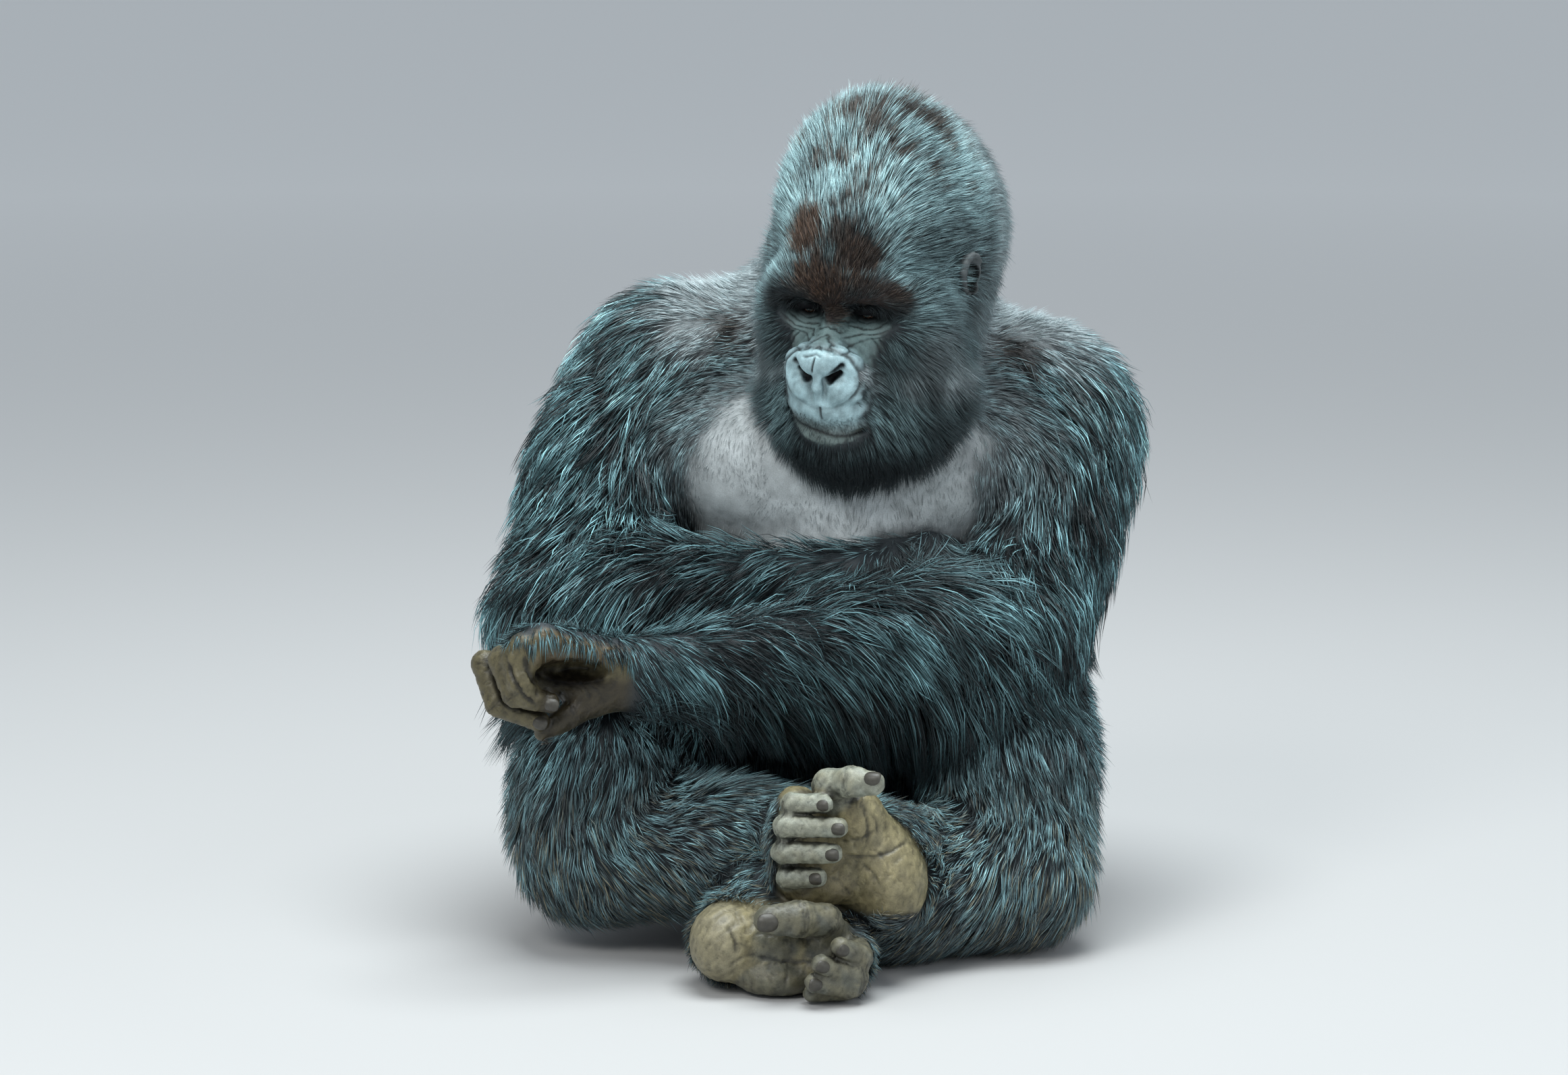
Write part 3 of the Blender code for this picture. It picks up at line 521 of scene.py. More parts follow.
def with_modifiers(ob):
    graph = bpy.context.evaluated_depsgraph_get()
    me = bpy.data.meshes.new_from_object(ob.evaluated_get(graph), depsgraph=graph)
    bpy.data.objects.remove(ob, do_unlink=True)
    return me


def paint(me, name, values):
    """A point attribute: a number or a colour for each vertex."""
    if values.ndim == 1:
        a = me.attributes.new(name, "FLOAT", "POINT")
        a.data.foreach_set("value", values.astype(np.float32))
    else:
        a = me.attributes.new(name, "FLOAT_COLOR", "POINT")
        rgba = np.concatenate([values, np.ones((len(values), 1))], 1)
        a.data.foreach_set("color", rgba.astype(np.float32).ravel())


# smooth repeatable noise: a few random waves
def wave_noise(X, scale, seed, octaves=3):
    r = np.random.default_rng(seed)
    out = np.zeros(len(X))
    amp = 1.0
    for _ in range(octaves):
        for _ in range(4):
            k = unit(r.normal(size=3)) * (2 * math.pi / scale) * r.uniform(0.7, 1.3)
            out += amp * np.sin(X @ k + r.uniform(0, 6.28)) * 0.5
        scale *= 0.5
        amp *= 0.55
    return out / 1.8


# ------------------------------------------------------------------ where the skin is bare
def bare_face(q):
    """1 on the naked face: under the brow to the lips, narrow beside the nose, with a tongue of fur between the eyes."""
    f, u, s = q[:, 0], q[:, 1], np.abs(q[:, 2])
    half = np.interp(u, [-0.128, -0.122, -0.112, -0.100, -0.085, -0.060, -0.035, -0.018, -0.006, 0.006, 0.016, 0.024],
                     [0.008, 0.026, 0.040, 0.044, 0.048, 0.050, 0.047, 0.052, 0.060, 0.064, 0.056, 0.020])
    top = np.interp(s, [0.0, 0.010, 0.018, 0.030], [0.002, 0.004, 0.016, 0.019])
    half = half + 0.008 * smooth01(-u, 0.082, 0.098) * (1 - smooth01(-u, 0.116, 0.124)) * (q[:, 2] < 0)
    half = half - 0.004 * (q[:, 2] > 0) * smooth01(-u, 0.028, 0.040) * (1 - smooth01(-u, 0.095, 0.108)) + 0.0045 * wave_noise(q, 0.013, 35)
    w = smooth01(half - s, -0.008, 0.006) * smooth01(u, -0.131, -0.123) * (1 - smooth01(u - top, -0.005, 0.006))
    return w * smooth01(f, 0.050, 0.070)


def near_group(X, *names):
    return chunked(lambda Y: np.min([group_field(g, Y) for g in names], 0), X)


def bare_hand(X, N):
    """1 on palms, soles, fingers and toes; the back of the folded hand keeps its hair."""
    out = np.zeros(len(X))
    for g in ("hand_L", "foot_L", "foot_R"):
        out = np.maximum(out, 1 - smooth01(near_group(X, g), 0.001, 0.009))
    foot = X[:, 2] < 0.26
    fringe = np.maximum(smooth01(-X[:, 0], 0.038, 0.052) * smooth01(X[:, 1], -0.412, -0.396) * smooth01(X[:, 2], 0.085, 0.10),
                        smooth01(X[:, 0], 0.020, 0.036) * smooth01(X[:, 1], -0.452, -0.436) * (1 - smooth01(X[:, 2], 0.07, 0.09)))
    out *= 1 - fringe * foot
    wr = WR_L + unit(WR_L - EL_L) * 0.022
    out *= 1 - smooth01((X - wr) @ unit(EL_L - WR_L), -0.012, 0.006) * (np.linalg.norm(X - WR_L, axis=1) < 0.12)
    back = smooth01(N @ unit(vec(0.1, 0.45, 0.85)), 0.25, 0.65) * smooth01(X[:, 0], -0.345, -0.305) * smooth01(X[:, 2], 0.334, 0.350)
    out *= 1 - back * (np.linalg.norm(X - vec(-0.26, -0.35, 0.34), axis=1) < 0.12)
    return out


def bare_chest(X, N):
    """1 on the naked breast between the folded arms and the beard."""
    q = (X - vec(0.020, -0.10, 0.490)) / vec(0.165, 1, 0.150)
    r = np.sqrt(q[:, 0] ** 2 + q[:, 2] ** 2)
    front = smooth01(-N[:, 1], 0.05, 0.45)
    r = r + 0.10 * wave_noise(X, 0.12, 5)
    own = near_group(X, "trunk", "neck")
    other = near_group(X, "arm_L", "arm_R", "head", "hand_R", "leg_L", "leg_R")
    return (1 - smooth01(r, 0.80, 1.15)) * front * smooth01(-X[:, 1], 0.02, 0.06) * smooth01(other - own, 0.000, 0.012)


# ------------------------------------------------------------------ the skin
told("starting")
V, Q = nets(field, (-0.44, -0.56, -0.02), (0.44, 0.36, 0.98), 0.0042)
told("nets %d quads" % len(Q))
me = new_mesh("skin", V, Q)
ob = linked("skin", me)


def fineness(X):
    """0 where fur hides the skin, 1 on hands and feet, 2 on the face, 3 at eyes and nose."""
    q = in_head(X)
    lv = np.zeros(len(X))
    near_face = (q[:, 0] > 0.045) & (np.abs(q[:, 2]) < 0.075) & (q[:, 1] > -0.135) & (q[:, 1] < 0.045)
    lv[near_face] = 2
    for c, r in ((vec(-0.275, -0.350, 0.320), 0.095),):
        lv[(np.linalg.norm(X - c, axis=1) < r)] = np.maximum(lv[(np.linalg.norm(X - c, axis=1) < r)], 1.5)
    foot = (X[:, 1] < -0.345) & (np.abs(X[:, 0] + 0.01) < 0.16) & (X[:, 2] < 0.26)
    lv[foot & (X[:, 1] < -0.36)] = np.maximum(lv[foot & (X[:, 1] < -0.36)], 1)
    lv[(q[:, 0] > 0.062) & (np.abs(q[:, 2]) < 0.058) & (q[:, 1] > -0.090) & (q[:, 1] < 0.022)] = 3
    lv[(q[:, 0] > 0.100) & (np.abs(q[:, 2]) < 0.056) & (q[:, 1] > -0.120) & (q[:, 1] < -0.080)] = 3
    ears = (np.abs(np.abs(q[:, 2]) - EAR[2]) < 0.022) & (np.abs(q[:, 0] - EAR[0]) < 0.034) & (np.abs(q[:, 1] - EAR[1]) < 0.038)
    lv[ears] = 1.5
    return lv


# thin the furred skin, keep the bare
lv = fineness(V)
grp = ob.vertex_groups.new(name="thin")
keep = lv > 0
grp.add(np.flatnonzero(~keep).tolist(), 1.0, "REPLACE")
tri = ob.modifiers.new("t", "TRIANGULATE")
thin = ob.modifiers.new("d", "DECIMATE")
n_all, n_keep = 2 * len(Q), 2 * int(keep[Q].all(1).sum())
thin.vertex_group = "thin"
thin.ratio = (n_keep + 46000) / n_all
me = with_modifiers(ob)
told("thinned to %d (kept %d of %d)" % (len(me.polygons), n_keep, n_all))

bm = bmesh.new()
bm.from_mesh(me)
for level in (1, 2):
    bm.verts.ensure_lookup_table()
    P = np.array([v.co[:] for v in bm.verts])
    lv = fineness(P)
    want = lv >= level + (0 if level == 1 else 0)
    if level == 2:
        want = lv >= 3
    bm.verts.index_update()
    edges = [e for e in bm.edges if want[e.verts[0].index] and want[e.verts[1].index]]
    bmesh.ops.subdivide_edges(bm, edges=edges, cuts=1, use_grid_fill=True)
    bmesh.ops.triangulate(bm, faces=[f for f in bm.faces if len(f.verts) > 3])
bm.to_mesh(me)
bm.free()
V = coords(me)
fine = fineness(V) > 0
V[fine] = onto(field, V[fine], 3)
V[~fine] = onto(field, V[~fine], 1)
me.vertices.foreach_set("co", V.astype(np.float32).ravel())
me.update()
told("refined to %d" % len(me.polygons))

# folds, creases and wrinkles, pressed in along the normal
N = normals(me)
q = in_head(V)
f_, u_, s_ = q[:, 0], q[:, 1], q[:, 2]
face = bare_face(q)
warp = 0.0022 * wave_noise(V, 0.022, 21) + 0.0008 * wave_noise(V, 0.007, 22)
push = np.zeros(len(V))


def ridges(x, wave):
    """Rounded ridges with sharp valleys between them, from -1 to about 0.4."""
    return 0.4 - 1.4 * (1 - np.abs(np.sin(x / wave * math.pi))) ** 2


for s in (-1, 1):
    # pouches under the eyes: arcs round the eyeball
    d = np.sqrt((u_ - EYE[1] - 0.004) ** 2 + ((s_ - s * EYE[2]) * 0.66) ** 2)
    w = smooth01(d, 0.010, 0.015) * (1 - smooth01(d, 0.028, 0.036)) * smooth01(-u_, -0.003, 0.004) * (f_ > 0.05) * smooth01(s * s_, 0.012, 0.020)
    push += 0.0015 * w * ridges(d + warp * 0.45, 0.0052)
    # fans that leave the bridge and pass outside the nose
    d = np.sqrt((u_ + 0.050) ** 2 + (s_ * 0.92) ** 2)
    w = smooth01(d, 0.046, 0.050) * (1 - smooth01(d, 0.062, 0.070)) * smooth01(u_, -0.080, -0.050) * smooth01(s * s_, 0.014, 0.024) * (1 - smooth01(u_, -0.022, -0.014))
    push += 0.0014 * w * ridges(d + warp * 0.5, 0.0056) * (f_ > 0.06)
# cross wrinkles on the bridge
w = (1 - smooth01(np.abs(s_), 0.012, 0.022)) * smooth01(u_, -0.016, -0.011) * (1 - smooth01(u_, 0.004, 0.010)) * (f_ > 0.08)
push += 0.0014 * w * ridges(u_ + 0.45 * np.abs(s_) + warp * 0.8, 0.0056)
# the groove that rings the nose, deepest beside the wings, and the swell inside it
ring = (np.sqrt((s_ / 0.0445) ** 2 + ((u_ + 0.0460) / 0.0345) ** 2) - 1) * 0.038 + 0.15 * warp
around = smooth01(f_, 0.108, 0.118) * (0.22 + 0.78 * smooth01(u_, -0.075, -0.062))
push -= 0.0016 * around * np.exp(-(ring / 0.0017) ** 2)
push += 0.0012 * around * np.exp(-((ring + 0.0055) / 0.0036) ** 2)
# the notch over the nose pad, the scar down the pad and the groove under the septum
push -= 0.0020 * np.exp(-(((u_ + 0.0165 + 0.25 * np.abs(s_)) / 0.0014) ** 2)) * (1 - smooth01(np.abs(s_ + 0.004), 0.008, 0.013)) * (f_ > 0.11)


def scar_of(f, u, s):
    line = np.abs((s + 0.002) - 0.22 * (u + 0.028))
    return np.exp(-(line / 0.0009) ** 2) * smooth01(u, -0.038, -0.034) * (1 - smooth01(u, -0.020, -0.017)) * (f > 0.12)


push -= 0.0013 * scar_of(f_, u_, s_)
push -= 0.0016 * np.exp(-((s_ - 0.001) / 0.0012) ** 2) * smooth01(u_, -0.098, -0.090) * (1 - smooth01(u_, -0.080, -0.076)) * (f_ > 0.11)
# small uprights on the upper lip and chin
w = smooth01(u_, -0.118, -0.112) * (1 - smooth01(u_, -0.098, -0.088)) * face
push += 0.00022 * w * np.sin((s_ + warp * 1.6) / 0.0050 * 2 * math.pi)
push += 0.0003 * face * wave_noise(V, 0.009, 31)
# creases across the finger and toe joints, long folds on soles and palm
hand = bare_hand(V, N)
for g, p, axis, r in JOINTS:
    rel = V - p
    near = np.linalg.norm(rel, axis=1) < r * 2.1
    t = rel[near] @ axis
    b = rel[near] @ vec(0, -1, 0)
    for off, dep in ((-0.0030, 0.0006), (0.0, 0.0010), (0.0032, 0.0006)):
        push[near] -= dep * np.exp(-((t - off + 0.0006 * np.sin(b * 900)) / 0.0009) ** 2)


def fold(p0, p1, bend, depth, width):
    """A curved crease from p0 to p1 in x and z on whatever faces the front."""
    p0, p1 = vec(*p0), vec(*p1)
    ax = p1 - p0
    ln = np.linalg.norm(ax)
    ax = ax / ln
    side = vec(-ax[1], ax[0])
    X = V[:, [0, 2]] - p0
    t = X @ ax / ln
    d = X @ side - bend * 4 * t * (1 - t) + 0.0009 * wave_noise(V, 0.018, 41)
    return -depth * (1.5 * np.exp(-(d / (width * 1.5)) ** 2) - 0.35 * np.exp(-(d / (width * 3.2)) ** 2)) * smooth01(t, -0.02, 0.20) * (1 - smooth01(t, 0.80, 1.02))


front = (V[:, 1] < -0.36) & (V[:, 2] < 0.26)
soles = np.zeros(len(V))
for a in (((0.041, 0.205), (0.047, 0.150), 0.004, 0.0016, 0.0013), ((0.016, 0.161), (0.058, 0.173), -0.004, 0.0012, 0.0012),
          ((0.020, 0.146), (0.096, 0.158), -0.008, 0.0015, 0.0013), ((0.039, 0.138), (0.062, 0.110), 0.004, 0.0011, 0.0012),
          ((0.052, 0.152), (0.072, 0.128), 0.003, 0.0009, 0.0011), ((0.005, 0.124), (0.031, 0.100), 0.004, 0.0010, 0.0012),
          ((0.052, 0.190), (0.060, 0.165), 0.002, 0.0010, 0.0011), ((0.028, 0.168), (0.036, 0.150), 0.001, 0.0008, 0.0010),
          ((-0.100, 0.078), (-0.090, 0.048), 0.003, 0.0015, 0.0014), ((-0.079, 0.049), (-0.004, 0.040), -0.004, 0.0014, 0.0013),
          ((-0.100, 0.036), (-0.066, 0.050), 0.002, 0.0010, 0.0012), ((-0.038, 0.042), (-0.041, 0.010), 0.002, 0.0011, 0.0012),
          ((-0.072, 0.068), (-0.030, 0.058), 0.003, 0.0010, 0.0011), ((-0.060, 0.030), (-0.052, 0.012), 0.002, 0.0008, 0.0011)):
    soles += fold(*a)
push += 0.72 * soles * front * hand
palm = (np.linalg.norm(V - vec(-0.255, -0.345, 0.315), axis=1) < 0.060)
lines = sum(fold(*a) for a in (((-0.250, 0.322), (-0.232, 0.300), 0.003, 0.0009, 0.0010), ((-0.262, 0.326), (-0.246, 0.300), 0.003, 0.0009, 0.0010),
                               ((-0.286, 0.330), (-0.240, 0.332), 0.004, 0.0011, 0.0012)))
push += lines * palm * hand
fist = (V[:, 1] < -0.355) & (V[:, 2] > 0.285) & (V[:, 0] < -0.288)
push += sum(fold(*a) for a in (((-0.3320, 0.3560), (-0.3000, 0.3030), -0.005, 0.0026, 0.0016), ((-0.3130, 0.3600), (-0.2985, 0.3240), -0.003, 0.0022, 0.0015))) * fist * hand
push += 0.00055 * hand * wave_noise(V, 0.012, 51)
push -= 0.00060 * hand * np.exp(-(wave_noise(V, 0.020, 52) / 0.07) ** 2)
# the naked breast sags in soft folds
chest = bare_chest(V, N)
push += 0.0030 * chest * wave_noise(V, 0.11, 61, 2)
V = V + N * push[:, None]
me.vertices.foreach_set("co", V.astype(np.float32).ravel())
me.update()
# the folds cost triangles only where they bend
ob = linked("skin", me)
paint(me, "push", push)
thin = ob.modifiers.new("d", "DECIMATE")
thin.ratio = min(1.0, 188000 / len(me.polygons))
me = with_modifiers(ob)
V = coords(me)
push = np.empty(len(V), np.float32)
me.attributes["push"].data.foreach_get("value", push)
push = push.astype(float)
me.attributes.remove(me.attributes["push"])
told("folded, %d" % len(me.polygons))
skin_mesh = me

# ------------------------------------------------------------------ a coarse copy of the field, for the coat to lie on
LO, HI, CELL = vec(-0.49, -0.60, -0.06), vec(0.49, 0.42, 1.04), 0.010
dims = np.ceil((HI - LO) / CELL).astype(int) + 1
axes = [LO[i] + np.arange(dims[i]) * CELL for i in range(3)]
pts = np.stack(np.meshgrid(*axes, indexing="ij"), -1).reshape(-1, 3)
GRID = chunked(field, pts).reshape(dims).astype(np.float32)
SLOPES = [g.astype(np.float32) for g in np.gradient(GRID, CELL)]
del pts
told("field grid")


def look(grids, X):
    t = (X - LO) / CELL
    i = np.clip(np.floor(t).astype(int), 0, dims - 2)
    w = np.clip(t - i, 0, 1)
    outs = [np.zeros(len(X)) for _ in grids]
    for a in (0, 1):
        for b in (0, 1):
            for c in (0, 1):
                ww = (w[:, 0] if a else 1 - w[:, 0]) * (w[:, 1] if b else 1 - w[:, 1]) * (w[:, 2] if c else 1 - w[:, 2])
                ix = (i[:, 0] + a, i[:, 1] + b, i[:, 2] + c)
                for o, g in zip(outs, grids):
                    o += ww * g[ix]
    return outs


def lie(X):
    """Height over the flesh, and the way out of it."""
    f, gx, gy, gz = look([GRID] + SLOPES, X)
    n = np.stack([gx, gy, gz], 1)
    return f, n / np.maximum(np.linalg.norm(n, axis=1, keepdims=True), 1e-6)


# ------------------------------------------------------------------ how the hair lies
DOWN = vec(0, 0, -1)


def recipe(g, n):
    """length, height over the skin, droop, clumping, silver; the lie is worked out in comb()"""
    t = {"pelvis": (.044, .021, .25, .45, .15), "belly": (.038, .020, .4, .45, 0), "chest": (.030, .018, .3, .4, .15),
         "back": (.040, .020, .1, .40, .75), "loin": (.040, .020, .1, .40, .80), "girdle": (.036, .022, .10, .35, .35),
         "hump": (.038, .022, .10, .35, .55), "breast": (.020, .010, .3, .3, .40)}
    a = {"deltoid": (.052, .027, .20, .50, .05), "upper": (.066, .033, .35, .60, 0), "triceps": (.066, .033, .40, .60, 0),
         "elbow": (.085, .037, .65, .65, 0), "forearm": (.082, .037, .75, .70, 0), "wrist": (.054, .026, .60, .60, 0)}
    l = {"thigh": (.048, .025, .30, .5, .08), "thigh_bulk": (.046, .025, .30, .5, .08), "knee": (.042, .024, .30, .45, .15),
         "calf": (.038, .023, .30, .45, .20), "shin": (.032, .018, .30, .45, .20), "ankle": (.026, .011, .2, .4, 0)}
    h = {"cranium": (.030, .018, .05, .18, .0), "crest": (.031, .020, .0, .18, 0), "nape": (.034, .022, .1, .30, .15),
         "glabella": (.017, .009, 0, .15, 0), "forehead": (.025, .010, 0, .15, 0), "brow": (.017, .009, 0, .15, 0),
         "temple": (.028, .018, .05, .18, 0), "cheekbone": (.028, .015, .1, .25, 0), "jowl": (.036, .026, .25, .40, 0),
         "chin": (.028, .016, .35, .4, 0), "jaw": (.042, .028, .40, .5, 0), "throat": (.036, .025, .4, .45, 0),
         "upper_lip": (.008, .003, .2, .1, 0), "lower_lip": (.015, .006, .3, .2, 0), "muzzle": (.014, .005, .1, .2, 0)}
    if g == "trunk":
        return t[n]
    if g == "neck":
        return (.034, .022, .12, .35, .70)
    if g.startswith("arm"):
        return a[n]
    if g.startswith("leg"):
        return l[n]
    if g == "head":
        return h.get(n, (.012, .006, .1, .2, 0))
    if g.startswith("ear"):
        return (.014, .005, .1, .2, 0)
    if g == "hand_L":
        return (.040, .014, .45, .4, 0)
    return (.030, .012, .2, .3, .15)


FURRED = [p for p in PRIMS if not p["cut"] and p["n"] not in ("lid", "wing", "wing_lobe", "septum", "nose_knob", "nose_pad", "bag", "bridge", "rim", "tragus", "stem")]
# how pale the tips are, part by part: partly the hair's own paleness, partly painted light and shade, paler on parts
# lit from above such as shoulders, hips and calves, darker on shaded parts such as belly, jaw, chin and throat
TIP_PALE_AND_LIGHT = {"deltoid": 1.80, "upper": 1.50, "triceps": 1.30, "elbow": 1.12, "forearm": 0.94, "wrist": 0.90, "thigh": 1.00, "thigh_bulk": 1.50,
        "knee": 1.35, "calf": 1.95, "shin": 1.50, "ankle": 1.7, "pelvis": 1.90, "belly": 0.45, "chest": 0.80, "back": 0.90, "loin": 1.0,
        "girdle": 1.2, "hump": 1.1, "breast": 0.9, "neck": 1.2, "crest": 1.45, "cranium": 1.48, "forehead": 1.42, "temple": 1.62,
        "brow": 1.2, "glabella": 0.9, "cheekbone": 0.85, "jowl": 0.60, "jaw": 0.40, "chin": 0.30, "throat": 0.30}
RECIPES = np.array([recipe(p["g"], p["n"]) + (TIP_PALE_AND_LIGHT.get(p["n"], 0.9),) for p in FURRED])


def axis_of(p):
    """The lie that a limb's own axis gives, or straight down."""
    g, n = p["g"], p["n"]
    if g.startswith("arm"):
        s = g[-1]
        sh, el, wr = (SH_R, EL_R, WR_R) if s == "R" else (SH_L, EL_L, WR_L)
        return unit(el - sh) if n in ("deltoid", "upper", "triceps") else unit(el - wr)
    if g.startswith("leg"):
        s = g[-1]
        hip, kn, kc, an = (HIP_R, KN_R, KC_R, AN_R) if s == "R" else (HIP_L, KN_L, KC_L, AN_L)
        return unit(kn - hip) if n in ("thigh", "thigh_bulk") else (unit(an - kc) if n in ("calf", "shin", "ankle") else unit(vec(0, -0.2, -1)))
    if g == "neck":
        return unit(vec(-0.02, 0.75, -0.65))
    if g.startswith("hand_L"):
        return unit(vec(0.15, -0.95, -0.35))
    if g == "trunk" and n in ("girdle", "hump"):
        return unit(vec(0, 0.55, -0.8))
    if g == "foot_R":
        return unit(vec(-0.6, -0.75, 0.1))
    if g == "foot_L":
        return unit(vec(0.6, -0.8, -0.1))
    return DOWN


AXES = np.array([axis_of(p) for p in FURRED])


def head_comb(q):
    """The lie on the head, in its own axes: up and back from the brow, down the nape and cheeks, out to the sides."""
    f, u, s = q.T
    side = np.sign(s) * smooth01(np.abs(s), 0.0, 0.05)
    D = np.zeros((len(q), 3))

    def add(w, d):
        D[:] += w[:, None] * (d if d.ndim == 2 else d[None])
    col = lambda a, b, c: np.stack([np.broadcast_to(a, f.shape), np.broadcast_to(b, f.shape), np.broadcast_to(c, f.shape)], 1)
    up = smooth01(u, 0.020, 0.045)
    out = smooth01(np.abs(s), 0.025, 0.085)
    add(up * smooth01(f, 0.0, 0.05) * 1.4, col(-0.35 - 0.35 * out, 1.0 - 0.75 * out, (0.35 + 0.75 * out) * side))     # brow and forehead
    add(up * (1 - smooth01(f, -0.02, 0.05)) * smooth01(f, -0.14, -0.06), col(-1.0, -0.15, 0.25 * side))   # crown
    add(smooth01(-f, 0.08, 0.14), col(-0.25, -1.0, 0.1 * side))                          # nape
    mid = (1 - smooth01(np.abs(u), 0.02, 0.06)) * smooth01(np.abs(s), 0.03, 0.07)
    add(mid * 0.8, col(-0.9, -0.1, 0.5 * side))                                          # temples, back to the ear
    low = smooth01(-u, -0.005, 0.030)
    add(low * smooth01(np.abs(s), 0.02, 0.06), col(-0.45, -1.0, 0.35 * side))            # cheeks
    add(low * (1 - smooth01(np.abs(s), 0.03, 0.07)) * smooth01(-u, 0.09, 0.115), col(0.10, -1.0, 0.15 * side))  # beard
    lipw = smooth01(-u, 0.06, 0.08) * (1 - smooth01(-u, 0.10, 0.112)) * (1 - smooth01(np.abs(s), 0.045, 0.06))
    add(lipw * 1.2, col(0.1, -0.8, 0.9 * side))
    D += 1e-4
    return D @ HA.T


def comb(X, N):
    """Blends the recipes and lies of the nearest primitives at each root."""
    n, m = len(X), len(FURRED)
    best = np.full(n, 9.0)
    D = np.empty((n, m), np.float32)
    for j, p in enumerate(FURRED):
        D[:, j] = distance(p, X)
        np.minimum(best, D[:, j], out=best)
    W = np.exp(-(D - best[:, None]) / 0.014)
    W /= W.sum(1, keepdims=True)
    R = W @ RECIPES
    A = W @ AXES
    is_head = np.array([p["g"] in ("head", "ear_L", "ear_R") for p in FURRED])
    wh = W[:, is_head].sum(1)[:, None]
    q = in_head(X)
    H = head_comb(q)
    H = H / np.linalg.norm(H, axis=1, keepdims=True)
    A = A * (1 - wh) + H * wh
    # hair on the back parts sideways from the spine, and fans over the shoulders
    tr = W[:, [i for i, p in enumerate(FURRED) if p["g"] == "trunk"]].sum(1)
    A[:, 0] += tr * 0.8 * (X[:, 0] - 0.03) * smooth01(X[:, 2], 0.1, 0.5)
    sway = (0.30 - 0.14 * wh[:, 0])[:, None]
    A = A + sway * np.stack([wave_noise(X, 0.10, 71), wave_noise(X, 0.10, 72), wave_noise(X, 0.10, 73)], 1)
    A = A + sway * 0.8 * np.stack([wave_noise(X, 0.035, 74), wave_noise(X, 0.035, 75), wave_noise(X, 0.035, 76)], 1)
    # the elbow's hair falls forward over the back of the folded hand
    over = (1 - smooth01(np.linalg.norm((X - vec(-0.235, -0.215, 0.365)) / vec(0.15, 0.09, 0.06), axis=1), 0.6, 1.15))
    A = A + over[:, None] * vec(0.0, -1.3, -0.2)
    A = A + DOWN * (R[:, 2] * 0.6)[:, None] * (1 - wh)
    # over the tops of the shoulders it lies outward from the neck
    top = smooth01(N[:, 2], 0.2, 0.7) * smooth01(X[:, 2], 0.50, 0.58) * (1 - wh[:, 0])
    A[:, 0] += 1.0 * top * np.sign(X[:, 0] - 0.045) * smooth01(np.abs(X[:, 0] - 0.045), 0.03, 0.10)
    A = A - N * (A * N).sum(1, keepdims=True)
    A /= np.maximum(np.linalg.norm(A, axis=1, keepdims=True), 1e-6)
    R = R.copy()
    R[:, 0] *= 1 + 0.35 * over
    R[:, 1] *= 1 + 0.50 * over
    return R, A, wh[:, 0], W


# ------------------------------------------------------------------ colours, the same for skin and coat
INK = vec(0.020, 0.027, 0.032)


def markings(X, N):
    """How brown, how dark that brown is and how silver the coat is at each place."""
    q = in_head(X)
    f, u, s = q.T
    noise = wave_noise(X, 0.05, 81) + 0.6 * wave_noise(X, 0.014, 83)
    brown, brown_dark = np.zeros(len(X)), np.zeros(len(X))
    # place, reach, amount of brown, how dark the brown is and ragged edge
    for c, r, a, k, rag in (((0.088, 0.078, -0.024), (0.07, 0.030, 0.034), 1.0, 0.20, 0.35), ((0.088, 0.074, 0.022), (0.07, 0.030, 0.034), 1.0, 0.70, 0.35),
                            ((0.100, 0.048, -0.004), (0.07, 0.036, 0.044), 1.0, 0.10, 0.30), ((0.100, 0.032, 0.046), (0.06, 0.020, 0.036), 1.0, 0.80, 0.30),
                            ((0.105, 0.014, -0.002), (0.05, 0.024, 0.017), 1.0, 0.25, 0.20),
                            ((0.092, 0.016, -0.052), (0.05, 0.014, 0.020), 0.9, 0.90, 0.25), ((-0.045, 0.165, 0.036), (0.060, 0.05, 0.036), 0.85, 0.60, 1.6),
                            ((0.006, 0.168, -0.004), (0.05, 0.04, 0.034), 0.6, 0.35, 1.6), ((0.055, 0.130, 0.034), (0.05, 0.020, 0.030), 0.45, 0.20, 1.3)):
        d = np.sqrt((((q - vec(*c)) / vec(*r)) ** 2).sum(1))
        w = a * (1 - smooth01(d + rag * noise, 0.45, 1.25))
        brown_dark = np.where(w > brown, k, brown_dark)
        brown = np.maximum(brown, w)
    for c, r in (((-0.095, -0.09, 0.664), (0.030, 0.10, 0.036)), ((0.213, -0.08, 0.640), (0.034, 0.10, 0.026))):
        d = np.sqrt((((X - vec(*c)) / vec(*r)) ** 2).sum(1))
        away = smooth01(np.sqrt((f / 0.13) ** 2 + ((u - 0.03) / 0.16) ** 2 + (s / 0.115) ** 2), 0.95, 1.10)
        brown = np.maximum(brown, 0.75 * away * (1 - smooth01(d + 0.3 * noise, 0.6, 1.3)))
    back = smooth01(N[:, 1], 0.0, 0.5)
    ragged = 0.03 * wave_noise(X, 0.07, 82)
    saddle = back * smooth01(X[:, 2] + ragged, 0.10, 0.20) * (1 - smooth01(X[:, 2] + ragged, 0.52, 0.64))
    saddle = saddle * (1 - smooth01(np.abs(X[:, 0] - 0.025) + ragged, 0.17, 0.25)) * smooth01(X[:, 1], -0.02, 0.05)
    # the pale mantle beside the neck
    mantle = (1 - smooth01(np.abs(X[:, 0] - 0.078) + ragged, 0.205, 0.265)) * smooth01(X[:, 2] + 0.5 * ragged, 0.612, 0.652)
    mantle = mantle * smooth01(N[:, 2], -0.55, 0.0) * smooth01(np.sqrt((f / 0.13) ** 2 + ((u - 0.03) / 0.16) ** 2 + (s / 0.115) ** 2), 1.00, 1.18)
    mantle = mantle * (1 - 0.6 * smooth01(X[:, 2] + ragged, 0.700, 0.800))
    return brown, np.maximum(saddle, mantle) * (1 - 0.9 * brown), brown_dark


